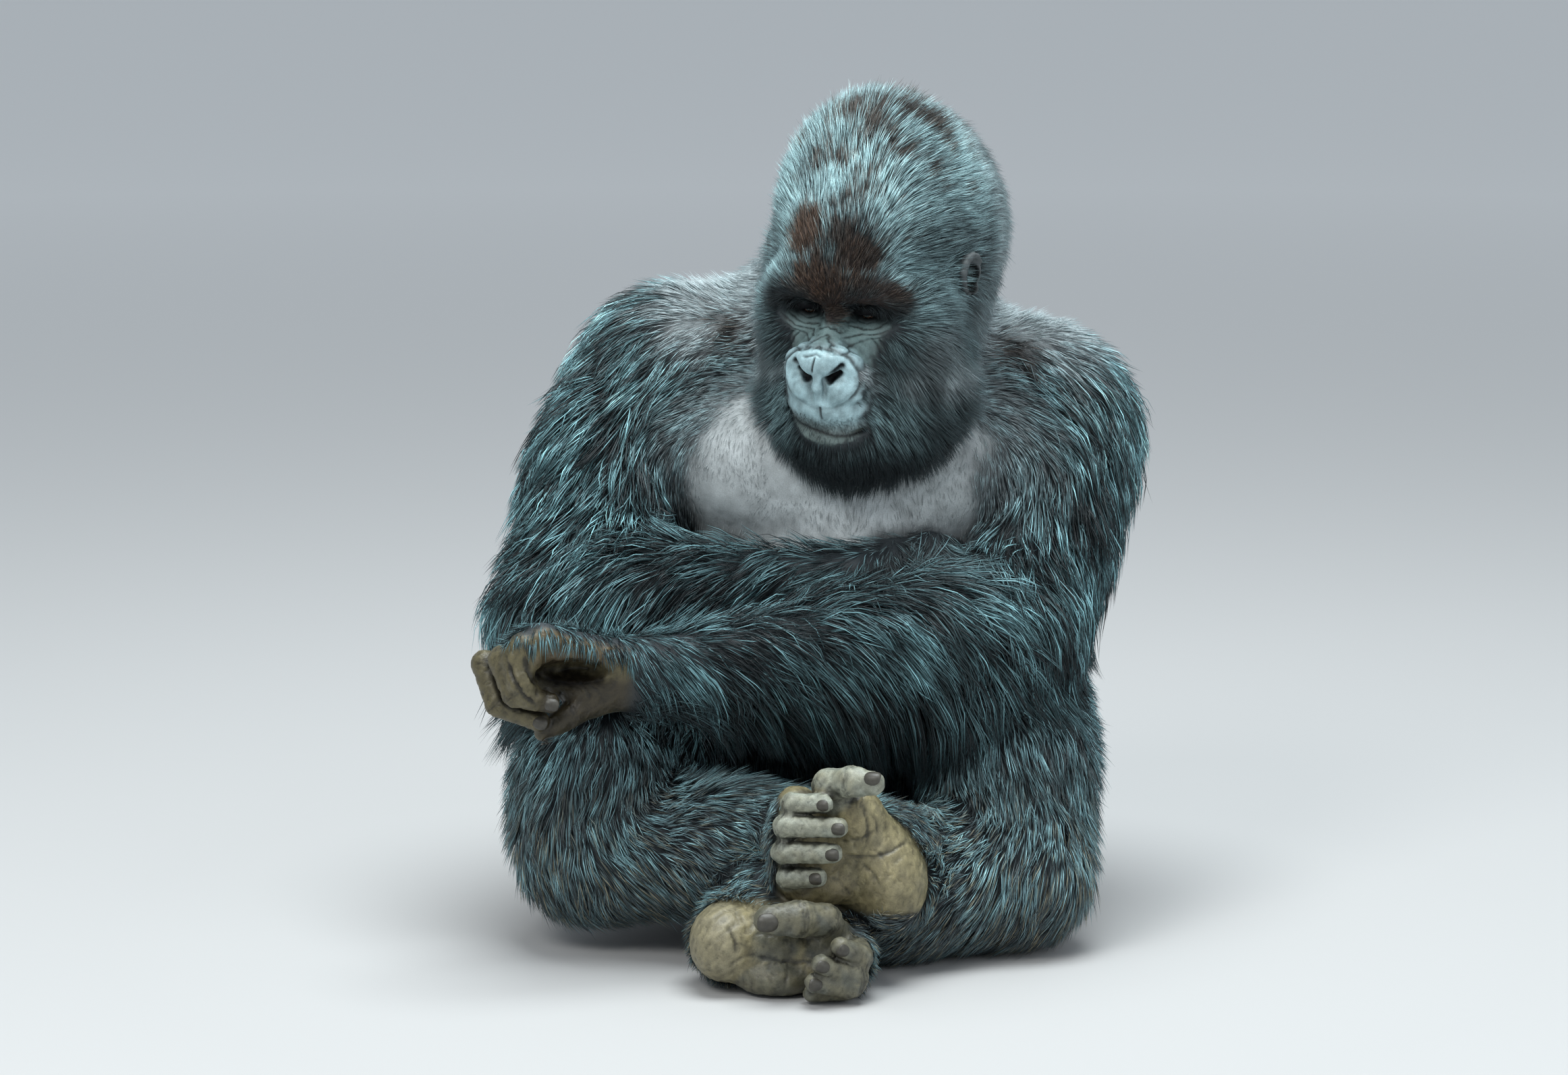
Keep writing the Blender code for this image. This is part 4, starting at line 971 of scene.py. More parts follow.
def brow_shade_of(f, u, s):
    """Painted shade under the brow: near black from one cheek to the other but for the bridge."""
    c = 0.0105 - 0.05 * np.abs(s)
    half = 0.0150 - 0.006 * smooth01(np.abs(s), 0.045, 0.070)
    w = np.exp(-(np.abs((u - c) / half) ** 4)) * (1 - smooth01(np.abs(s), 0.058, 0.076)) * smooth01(f, 0.045, 0.065)
    return w * (0.12 + 0.88 * smooth01(np.abs(s), 0.008, 0.017))


told("ready for the coat")
skin = linked("skin", skin_mesh)
skin_mesh.name = "skin"
N = normals(skin_mesh)
brown, saddle, brown_dark = markings(V, N)
q = in_head(V)
f_, u_, s_ = q.T
face = bare_face(q)
chest = bare_chest(V, N)
hand = bare_hand(V, N)
ear = np.zeros(len(V))
for g in ("ear_L", "ear_R"):
    ear = np.maximum(ear, 1 - smooth01(chunked(lambda Y, g=g: group_field(g, Y), V), 0.0005, 0.004))
col = np.tile(INK, (len(V), 1))


def mix(col, w, c):
    return col + (np.asarray(c) - col) * w[:, None]


col = mix(col, saddle * 0.9, vec(0.190, 0.215, 0.225))
col = mix(col, brown, vec(0.022, 0.012, 0.009))
# painted light: the breast is paler down its middle under the beard, where the head's shade falls, with a random tone
# on top
chest_light_and_tone = 0.80 + 0.34 * np.exp(-((V[:, 0] - 0.01) / 0.07) ** 2) * (1 - smooth01(V[:, 2], 0.48, 0.54)) + 0.05 * wave_noise(V, 0.08, 92) + 0.05 * wave_noise(V, 0.008, 93)
col = mix(col, chest, vec(0.515, 0.560, 0.572) * chest_light_and_tone[:, None])
tone = wave_noise(V, 0.03, 91)
fcol = np.tile(vec(0.150, 0.225, 0.225), (len(V), 1)) * (1 + 0.10 * tone[:, None])
nose_w = smooth01(f_, 0.112, 0.128) * (1 - smooth01(np.abs(s_), 0.045, 0.056)) * smooth01(-u_, 0.008, 0.016)
fcol = mix(fcol, nose_w, vec(0.310, 0.450, 0.485))
fcol = fcol * (1 + 0.16 * nose_w * wave_noise(V, 0.014, 94))[:, None]
edge_dark = smooth01(np.abs(s_), 0.038, 0.054) * smooth01(u_, -0.125, -0.090) * (1 - smooth01(u_, -0.012, 0.0))
fcol = mix(fcol, edge_dark * 0.7, vec(0.085, 0.110, 0.110))
# painted shade: the hollow under the brow is painted near black
brow_shade_w = brow_shade_of(f_, u_, s_)
fcol = mix(fcol, brow_shade_w, vec(0.006, 0.006, 0.007))


def cut_by(name, X, a, b):
    """1 where the surface was made by the cuts of this name."""
    d = np.min([distance(p, X) for p in PRIMS if p["cut"] and p["n"] == name], 0)
    return 1 - smooth01(d, a, b)


# painted shade: the nostrils are painted darker towards their depths
nostril_shade = np.zeros(len(V))
is_face = (f_ > 0.05) & (np.abs(s_) < 0.09)
nostril_shade[is_face] = cut_by("nostril", V[is_face], 0.0000, 0.0032)
fcol = mix(fcol, nostril_shade, vec(0.006, 0.006, 0.007))
fcol = mix(fcol, scar_of(f_, u_, s_) * 0.9, vec(0.010, 0.010, 0.010))
lip_line = np.interp(s_, [-0.054, -0.041, -0.023, -0.005, 0.011, 0.027, 0.040], [-0.1100, -0.1090, -0.1080, -0.1100, -0.1135, -0.1150, -0.1130])
mouth_d = np.abs(u_ - lip_line)
# painted shade: the mouth's slit is painted near black
mouth_shade = np.zeros(len(V))
mouth_shade[is_face] = cut_by("mouth", V[is_face], 0.0003, 0.0020)
fcol = mix(fcol, mouth_shade, vec(0.010, 0.011, 0.010))
fcol = mix(fcol, smooth01(lip_line - u_, 0.000, 0.003) * 0.90, vec(0.115, 0.150, 0.138))
# painted shade: a dark band along the lip line
fcol = mix(fcol, np.exp(-((u_ - lip_line + 0.0014) / 0.0026) ** 2) * (f_ > 0.07), vec(0.006, 0.007, 0.007))
fcol = mix(fcol, (1 - smooth01(u_ - lip_line, 0.002, 0.022)) * smooth01(u_ - lip_line, -0.001, 0.001) * 0.70, vec(0.085, 0.098, 0.088))
stub = smooth01(wave_noise(V, 0.0035, 33), 0.1, 0.9) * smooth01(-u_, 0.086, 0.100)
fcol = fcol * (1 - 0.42 * stub)[:, None]
rim = 1 - smooth01(np.abs(face - 0.5), 0.0, 0.5)
fcol = fcol * (1 - 0.45 * np.where(face > 0.5, rim, 1.0))[:, None]
# painted shade in the face's creases and painted light on its ridges
fcol = fcol * np.clip(1 + 0.70 * push / 0.0012, 0.20, 1.18)[:, None]
col = mix(col, face, fcol)
col = mix(col, ear * 0.9, vec(0.070, 0.082, 0.086))
# painted shade: the ear's hollow is painted near black
concha = np.zeros(len(V))
by_ear = np.abs(np.abs(s_) - EAR[2]) < 0.04
concha[by_ear] = cut_by("concha", V[by_ear], 0.0006, 0.0040)
col = mix(col, concha * ear, vec(0.006, 0.007, 0.007))
hcol = np.tile(vec(0.215, 0.186, 0.100), (len(V), 1)) * (1 + 0.22 * tone[:, None])
upper = (V[:, 2] > 0.255).astype(float)
hcol = mix(hcol, upper, vec(0.094, 0.080, 0.040) * 1.08)
# painted shade on the palm under the fist, and painted light on a strip along its top
hcol = mix(hcol, upper * smooth01(V[:, 0], -0.308, -0.290) * (1 - smooth01(V[:, 2], 0.318, 0.332)) * 0.88, vec(0.024, 0.017, 0.007))
hcol = mix(hcol, upper * smooth01(V[:, 0], -0.310, -0.290) * smooth01(V[:, 2], 0.338, 0.348) * 0.8, vec(0.105, 0.075, 0.038))
dust = smooth01(wave_noise(V, 0.05, 95), 0.1, 0.9)
hcol = mix(hcol, dust * 0.40 * (1 - upper), vec(0.240, 0.215, 0.135))


def near_prims(X, g, names):
    return np.min([distance(p, X) for p in PRIMS if p["g"] == g and p["n"] in names and not p["cut"]], 0)


toes = ("great_toe", "toe_2", "toe_3", "toe_4", "toe_5")
low_front = V[:, 2] < 0.27
# painted shade on the left foot's toes and painted light on its heel
for g, names, c, amount in (("foot_R", toes, vec(0.275, 0.300, 0.255), 0.85), ("foot_L", ("sole", "ball", "outer_pad", "instep"), vec(0.072, 0.075, 0.060), 0.85), ("foot_L", ("heel",), vec(0.220, 0.198, 0.128), 0.85),
                            ("foot_L", toes, vec(0.085, 0.090, 0.075), 0.85), ("foot_R", ("outer_pad",), vec(0.100, 0.075, 0.030), 0.5)):
    w = np.zeros(len(V))
    w[low_front] = 1 - smooth01(near_prims(V[low_front], g, names), 0.001, 0.006)
    hcol = mix(hcol, w * amount * np.clip(0.85 + 0.3 * tone, 0, 1.1), c)
# painted shade in the creases of hands and feet and painted light on their ridges
hcol = hcol * np.clip(1 + 0.60 * push / 0.0012, 0.30, 1.15)[:, None]
# painted shade: the hollow of the fist is painted near black
fist_hollow_shade = 1 - smooth01(np.linalg.norm((V - vec(-0.266, -0.386, 0.331)) / vec(0.053, 0.046, 0.0235), axis=1) + 0.08 * wave_noise(V, 0.014, 36), 0.62, 1.05)
hcol = mix(hcol, fist_hollow_shade * 0.96, vec(0.005, 0.004, 0.003))
col = mix(col, hand, hcol)
# painted shade: skin in creases and hollows, where other flesh is close, is darkened
gap = chunked(field, V + N * 0.007) / 0.007
crease = 1 - smooth01(gap, 0.15, 0.90)
col = col * (1 - crease * np.maximum(0.82 * hand, face * 0.5))[:, None]
col = np.clip(col, 0.003, 0.8)
paint(skin_mesh, "tint", col)
paint(skin_mesh, "sole", np.clip(hand, 0, 1))
deep = np.max([fist_hollow_shade * hand, nostril_shade, mouth_shade, brow_shade_w, concha * ear], 0)
paint(skin_mesh, "gloss", 0.45 * (1 - 0.88 * np.clip(deep, 0, 1)))
paint(skin_mesh, "rough", np.clip(0.62 - 0.20 * face * nose_w - 0.16 * hand, 0.3, 0.9))
skin_mesh.shade_smooth()

# ------------------------------------------------------------------ the unwrap that the coat's patches sit on
low = linked("low", skin_mesh.copy())
thin = low.modifiers.new("d", "DECIMATE")
thin.ratio = min(1.0, 9000 / len(skin_mesh.polygons))
low_mesh = with_modifiers(low)
low = linked("low", low_mesh)
while low_mesh.uv_layers:
    low_mesh.uv_layers.remove(low_mesh.uv_layers[0])
low_mesh.uv_layers.new(name="OFBake")
bpy.ops.object.select_all(action="DESELECT")
bpy.context.view_layer.objects.active = low
low.select_set(True)
bpy.ops.object.mode_set(mode="EDIT")
bpy.ops.mesh.select_all(action="SELECT")
bpy.ops.uv.smart_project(angle_limit=math.radians(66), island_margin=0.004)
bpy.ops.object.mode_set(mode="OBJECT")
LV, LF = coords(low_mesh), triangles(low_mesh)
LL = np.empty(len(low_mesh.loop_triangles) * 3, np.int32)
low_mesh.loop_triangles.foreach_get("loops", LL)
UV = np.empty(len(low_mesh.loops) * 2, np.float32)
low_mesh.uv_layers["OFBake"].data.foreach_get("uv", UV)
LUV = UV.reshape(-1, 2)[LL.reshape(-1, 3)]
TREE = BVHTree.FromPolygons([tuple(v) for v in LV], [tuple(int(i) for i in t) for t in LF])
bpy.data.objects.remove(low, do_unlink=True)
told("unwrapped %d" % len(LF))


def places(X):
    """Where each root sits on the unwrap."""
    face = np.empty(len(X), int)
    at = np.empty((len(X), 3))
    for i, x in enumerate(X):
        p, _, k, _ = TREE.find_nearest(Vector(x))
        face[i], at[i] = k, p
    a, b, c = (LV[LF[face, j]] for j in range(3))
    v0, v1, v2 = b - a, c - a, at - a
    d00, d01, d11 = (v0 * v0).sum(1), (v0 * v1).sum(1), (v1 * v1).sum(1)
    d20, d21 = (v2 * v0).sum(1), (v2 * v1).sum(1)
    den = np.maximum(d00 * d11 - d01 * d01, 1e-18)
    v = np.clip((d11 * d20 - d01 * d21) / den, 0, 1)
    w = np.clip((d00 * d21 - d01 * d20) / den, 0, 1)
    return LUV[face, 0] * (1 - v - w)[:, None] + LUV[face, 1] * v[:, None] + LUV[face, 2] * w[:, None]


# ------------------------------------------------------------------ roots of the tufts
SF = triangles(skin_mesh)
A, B, Cc = (V[SF[:, j]] for j in range(3))
AREA = np.linalg.norm(np.cross(B - A, Cc - A), axis=1) / 2
MID = (A + B + Cc) / 3
MN = unit(vec(1, 1, 1)) * 0 + np.cross(B - A, Cc - A)
MN /= np.maximum(np.linalg.norm(MN, axis=1, keepdims=True), 1e-12)
told("skin area %.3f m2" % AREA.sum())

hq = in_head(MID)
bare_m = np.maximum(bare_face(hq), bare_hand(MID, MN))
chest_m = bare_chest(MID, MN)
ear_m = np.zeros(len(MID))
for g in ("ear_L", "ear_R"):
    ear_m = np.maximum(ear_m, 1 - smooth01(chunked(lambda Y, g=g: group_field(g, Y), MID), 0.0005, 0.003))
R_m, A_m, WH_m, _ = comb(MID, MN)
bare_all = np.clip(np.maximum(np.maximum(bare_m, ear_m), chest_m), 0, 1)
# short hair needs more tufts for each patch of skin; skin pressed against other skin needs few
room = np.clip(lie(MID + MN * 0.045)[0] / 0.045, 0, 1)
per_m2 = np.clip(0.040 / R_m[:, 0], 0.80, 1.9)
head_dense = 1 + 1.6 * smooth01(WH_m, 0.4, 0.8)
hidden = np.where(MID[:, 2] < 0.004, 0.04, 1.0) * (0.30 + 0.70 * smooth01(room, 0.1, 0.7))
lip_hair = (0.10 * smooth01(-hq[:, 1], 0.084, 0.100) + 0.06 * smooth01(-hq[:, 1], 0.112, 0.118)) * bare_face(hq) * (hq[:, 0] > 0.05)
lip_hair = np.maximum(lip_hair, 0.55 * chest_m)
density = per_m2 * head_dense * hidden * np.clip(np.maximum(1 - smooth01(bare_all, 0.30, 0.95), lip_hair), 0, 1)
# as many tufts as the triangles allow: 6 for a short one, 12 for a long one
cost = np.where(R_m[:, 0] > 0.058, 10.5, 6.2)
density *= 1470000 / (density * AREA * cost).sum()
told("tufts wanted %.0f" % (density * AREA).sum())


def scatter(density, seed):
    r = np.random.default_rng(seed)
    want = density * AREA
    n = int(want.sum())
    cum = np.cumsum(want)
    pick = np.searchsorted(cum, (np.arange(n) + r.random(n)) * cum[-1] / n)
    pick = np.clip(pick, 0, len(AREA) - 1)
    u, v = r.random(n), r.random(n)
    flip = u + v > 1
    u[flip], v[flip] = 1 - u[flip], 1 - v[flip]
    return A[pick] + (B - A)[pick] * u[:, None] + (Cc - A)[pick] * v[:, None], MN[pick], pick


ROOT, RN, PICK = scatter(density, 3)
n = len(ROOT)
f0, n0 = lie(ROOT)
RN = n0
REC, DIR, WH, WALL = comb(ROOT, RN)
told("%d roots" % n)
LEN, HGT, DROOP, CLUMP, SILV, TIPS_AND_LIGHT = REC.T
edge = bare_all[PICK]
BREAST = chest_m[PICK]
LEN = LEN * rng.uniform(0.68, 1.25, n) * (1 - 0.50 * edge)
LEN *= 1 + 0.16 * wave_noise(ROOT, 0.06, 101)
HGT = HGT * (1 - 0.5 * edge) * (1 - 0.75 * BREAST)
brown, saddle, brown_dark = markings(ROOT, RN)

# where hair hangs free: under the arms and off the elbows
under = smooth01(-RN[:, 2], -0.25, 0.6)
armw = WALL[:, [i for i, p in enumerate(FURRED) if p["g"].startswith("arm")]].sum(1)
FREE = np.clip(armw * (0.25 + 0.75 * under) * smooth01(LEN, 0.035, 0.065), 0, 1)
ARMW = armw
MANTLE = np.clip(saddle * smooth01(ROOT[:, 2], 0.58, 0.64), 0, 1)
LEN = LEN * (1 - 0.38 * MANTLE)
HGT = HGT * (1 - 0.22 * MANTLE)
LEN = LEN * (1 + 0.50 * FREE)
CLUMP = CLUMP + 0.25 * FREE

LONG = (LEN > 0.060)
told("long %d of %d" % (LONG.sum(), n))


def strands(idx, segs):
    """Curves that leave the roots, follow the lie and keep their height over the flesh."""
    m = len(idx)
    P = np.empty((m, segs + 1, 3))
    p = ROOT[idx] - RN[idx] * 0.0012
    P[:, 0] = p
    d = DIR[idx] + rng.normal(0, 0.17, (m, 3)) * (1 - 0.40 * WH[idx] + 0.7 * ARMW[idx] - 0.2 * MANTLE[idx])[:, None]
    nrm = RN[idx].copy()
    step = (LEN[idx] / segs)[:, None]
    loose = rng.random(m) < 0.06
    top = HGT[idx] * np.where(loose, rng.uniform(1.0, 1.45, m), rng.uniform(0.30, 1.12, m))
    free, droop = FREE[idx], DROOP[idx]
    d = d / np.linalg.norm(d, axis=1, keepdims=True)
    bend = rng.normal(0, 0.17, (m, 3)) * (1 + 0.4 * ARMW[idx])[:, None]
    for k in range(1, segs + 1):
        t = k / segs
        d = d - nrm * ((d * nrm).sum(1) * (1 - 0.6 * free))[:, None]
        d = d + DOWN * (droop * 0.45 * (0.5 + t) + free * 0.55)[:, None] * (1 - WH[idx] * 0.5)[:, None]
        d = d + bend * (t - 0.4)
        d /= np.maximum(np.linalg.norm(d, axis=1, keepdims=True), 1e-6)
        p = p + d * step
        h, nrm = lie(p)
        want = top * min(1.0, (t * 1.5) ** 0.8)
        hold = np.where(h < want, 1.0, 1 - free * 0.85)
        p = p + nrm * ((want - h) * hold)[:, None]
        P[:, k] = p
    return P, top / np.maximum(HGT[idx], 1e-4)


def clump(P, idx, spacing, seed, share=1.0):
    """Draws neighbours' tips together into locks."""
    r = np.random.default_rng(seed)
    m = len(idx)
    keys = r.permutation(m)[:max(1, m // spacing)]
    kd = KDTree(len(keys))
    for j, k in enumerate(keys):
        kd.insert(ROOT[idx[k]], j)
    kd.balance()
    near = np.array([kd.find(ROOT[i])[1] for i in idx])
    G = P[keys[near]]
    same = smooth01((DIR[idx] * DIR[idx[keys[near]]]).sum(1), 0.4, 0.8)
    far = np.linalg.norm(ROOT[idx] - ROOT[idx[keys[near]]], axis=1)
    same *= 1 - smooth01(far, 0.018, 0.032)
    amount = share * CLUMP[idx] * same * r.uniform(0.4, 1.4, m)
    t = np.linspace(0, 1, P.shape[1])[None, :, None] ** 1.3
    return P + (G - P) * (np.clip(amount, 0, 0.85)[:, None, None] * t), near


def solid(P, idx, width):
    """A closed slender solid round each curve: a point in the skin, three-sided rings, a point at the tip."""
    m, r = P.shape[0], P.shape[1] - 1
    T = np.gradient(P, axis=1)
    T /= np.maximum(np.linalg.norm(T, axis=2, keepdims=True), 1e-9)
    S = np.cross(T, np.broadcast_to(RN[idx][:, None, :], T.shape))
    S /= np.maximum(np.linalg.norm(S, axis=2, keepdims=True), 1e-9)
    U = np.cross(S, T)
    spin = rng.uniform(-0.7, 0.7, m)[:, None, None]
    S, U = S * np.cos(spin) + U * np.sin(spin), U * np.cos(spin) - S * np.sin(spin)
    parts = [P[:, :1]]
    for k in range(1, r):
        w = (width * (1.0 - 0.42 * (k - 1) / max(1, r - 1)))[:, None]
        parts.append(np.stack([P[:, k] - S[:, k] * w * 0.5, P[:, k] + S[:, k] * w * 0.5, P[:, k] + U[:, k] * w * 0.62], 1))
    parts.append(P[:, r:])
    verts = np.concatenate(parts, 1)
    faces = []
    last = 1 + 3 * (r - 1)
    for i in range(3):
        j = (i + 1) % 3
        faces.append((0, 1 + i, 1 + j))
        for k in range(r - 2):
            a = 1 + 3 * k
            faces += [(a + i, a + 3 + i, a + 3 + j), (a + i, a + 3 + j, a + j)]
        a = last - 3
        faces.append((a + i, last, a + j))
    faces = np.array(faces)
    c = (verts - verts[:, :1])[:, faces]
    if (np.cross(c[:, :, 0], c[:, :, 1]) * c[:, :, 2]).sum() < 0:
        faces = faces[:, ::-1]
    along = np.concatenate([[0.0], np.repeat(np.arange(1, r) / r, 3), [1.0]])
    across = np.concatenate([[0.5], np.tile([0.0, 1.0, 0.5], r - 1), [0.5]])
    return verts, faces, along, across


def hair_colour(idx, along, keys, outer, seed):
    """Root to tip colour of each tuft."""
    r = np.random.default_rng(seed)
    m = len(idx)
    X = ROOT[idx]
    lock = np.random.default_rng(seed + 1).random(m)[keys]
    headish = WH[idx]
    raw = (0.03 + 0.44 * r.random(m) + (0.44 - 0.16 * headish) * lock + 0.22 * headish + 0.12 * wave_noise(X, 0.10, 111) + 0.09 * wave_noise(X, 0.03, 112))
    # painted shade: tufts that lie deep in the coat get darker tips than those standing out of it
    t = smooth01(raw, 0.22, 0.98) ** (1 + 0.5 * ARMW[idx]) * (0.30 + 0.85 * np.clip(outer, 0, 1.3))
    dark = vec(0.008, 0.012, 0.014)
    light = vec(0.330, 0.640, 0.705) * (1 - headish)[:, None] + vec(0.390, 0.600, 0.635) * headish[:, None]
    q = in_head(X)
    f, u, s = q.T
    # painted light and shade: tips are paler where the roots face up and darker where they face down, and the beard
    # under the chin is darkened; the cheeks are a little darker
    gain = TIPS_AND_LIGHT[idx] * (0.30 + 0.70 * smooth01(RN[idx][:, 2], -0.65, 0.25))
    beard = smooth01(-u, 0.118, 0.150) * headish * smooth01(f, 0.0, 0.05)
    cheek = headish * smooth01(-u, 0.0, 0.03) * smooth01(f, -0.02, 0.03)
    gain *= (1 - 0.85 * beard) * (1 - 0.30 * cheek)
    # painted shade: hair under the brow is darkened and loses its brown
    brow_shade = np.maximum(brow_shade_of(f, u, s), brow_shade_of(f, u - 0.012, s) * smooth01(np.abs(s), 0.010, 0.020)) * headish
    wisps = headish * np.exp(-((u + 0.096) / 0.028) ** 2) * smooth01(f, 0.045, 0.075) * (1 - smooth01(np.abs(s), 0.066, 0.088))
    gain = gain * (1 - 0.93 * brow_shade) + 1.25 * wisps * smooth01(np.abs(s), 0.034, 0.048)
    # painted shade: the hair round the ear is darkened
    ear_shade = np.exp(-((f - EAR[0] - 0.002) / 0.013) ** 2 - ((u - EAR[1]) / 0.021) ** 2) * smooth01(np.abs(s), 0.06, 0.09)
    gain = gain * (1 - 0.88 * ear_shade)
    c0 = dark[None] * (1 + 0.4 * t[:, None])
    c1 = dark[None] + (light - dark) * (t * gain)[:, None]
    sv = np.clip(np.maximum(saddle[idx], SILV[idx] * (1 - 0.75 * smooth01(RN[idx][:, 1], 0.1, 0.6))) * (1 + 0.25 * wave_noise(X, 0.04, 113)), 0, 1)
    silver = vec(0.640, 0.740, 0.770)
    c0 = c0 + (silver * 0.55 - c0) * sv[:, None]
    c1 = c1 + (silver * (0.72 + 0.45 * t[:, None]) - c1) * (sv * 0.94)[:, None]
    br = smooth01(brown[idx] + 0.55 * (r.random(m) - 0.5), 0.25, 0.75) * (1 - brow_shade) * (0.75 + 0.25 * brown[idx])
    rust0, rust1 = vec(0.010, 0.005, 0.004), vec(0.108, 0.060, 0.035) * (1 - 0.80 * brown_dark[idx])[:, None]
    c0 = c0 + (rust0 - c0) * br[:, None]
    c1 = c1 + (rust1 * (0.20 + 1.1 * t[:, None]) - c1) * br[:, None]
    gold = (r.random(m) < 0.16) * (1 - headish) * smooth01(-X[:, 2], -0.24, -0.10) * smooth01(-X[:, 1], -0.10, 0.05)
    c1 = c1 + (vec(0.46, 0.40, 0.25) - c1) * (gold * 0.8)[:, None]
    # the thin hair of the breast
    bare = BREAST[idx] * smooth01(BREAST[idx], 0.2, 0.8) * (1 - headish)
    c0 = c0 + (vec(0.42, 0.45, 0.46) - c0) * bare[:, None]
    c1 = c1 + (vec(0.56, 0.60, 0.61) * (0.60 + 0.55 * t[:, None]) - c1) * bare[:, None]
    k = (np.clip(along * 1.25, 0, 1) ** 0.9)[None, :, None]
    return np.clip(c0[:, None] * (1 - k) + c1[:, None] * k, 0.003, 0.9)


PIECES = {}


def add_tufts(idx, segs, small, large, seed, width):
    P, outer = strands(idx, segs)
    P, _ = clump(P, idx, large, seed, 0.55)
    P, keys = clump(P, idx, small, seed + 7, 1.0)
    for _ in range(2):                            # no hair is bent sharply
        P[:, 1:-1] = 0.25 * P[:, :-2] + 0.5 * P[:, 1:-1] + 0.25 * P[:, 2:]
    verts, faces, along, across = solid(P, idx, width[idx])
    verts[:, :, 2] = np.maximum(verts[:, :, 2], 0.0006)
    cols = hair_colour(idx, along, keys, outer, seed)
    uv = UVC[idx]
    who = OWNER[idx]
    for o in np.unique(who):
        m = who == o
        PIECES.setdefault(int(o), []).append((verts[m], faces, cols[m], along, across, uv[m]))


told("placing on the unwrap")
UVC = places(ROOT)
told("placed")
WIDTH = 0.00104 * rng.uniform(0.65, 1.35, n) * np.clip((LEN / 0.045) ** 0.5, 0.60, 1.25) * 1.0 * (1 - 0.36 * smooth01(WH, 0.4, 0.8)) * (1 - 0.50 * BREAST)

# pieces: head, neck, trunk, and each limb
OWN = {"head": 0, "ear_L": 0, "ear_R": 0, "neck": 1, "trunk": 2, "arm_R": 3, "hand_R": 3, "arm_L": 4, "hand_L": 4,
       "leg_R": 5, "foot_R": 5, "leg_L": 6, "foot_L": 6}
NAMES = {0: "coat_head", 1: "coat_neck", 2: "coat_trunk", 3: "coat_arm_R", 4: "coat_arm_L", 5: "coat_leg_R", 6: "coat_leg_L"}
OWNER = np.array([OWN[p["g"]] for p in FURRED])[WALL.argmax(1)]

add_tufts(np.flatnonzero(~LONG), 2, 7, 40, 201, WIDTH)
add_tufts(np.flatnonzero(LONG), 3, 8, 45, 202, WIDTH)
told("tufts made")


# ------------------------------------------------------------------ materials
def principled(name):
    m = bpy.data.materials.new(name)
    m.use_nodes = True
    return m, m.node_tree.nodes, m.node_tree.links, m.node_tree.nodes["Principled BSDF"]


def attribute(nodes, name):
    a = nodes.new("ShaderNodeAttribute")
    a.attribute_name = name
    return a


def coat_material():
    m, nodes, links, b = principled("coat")
    a = attribute(nodes, "tint")
    links.new(a.outputs["Color"], b.inputs["Base Color"])
    b.inputs["Roughness"].default_value = 0.42
    b.inputs["Specular IOR Level"].default_value = 0.34
    b.inputs["Sheen Weight"].default_value = 0.05
    b.inputs["Sheen Roughness"].default_value = 0.4
    b.inputs["Sheen Tint"].default_value = (0.75, 0.92, 1.0, 1.0)
    return m


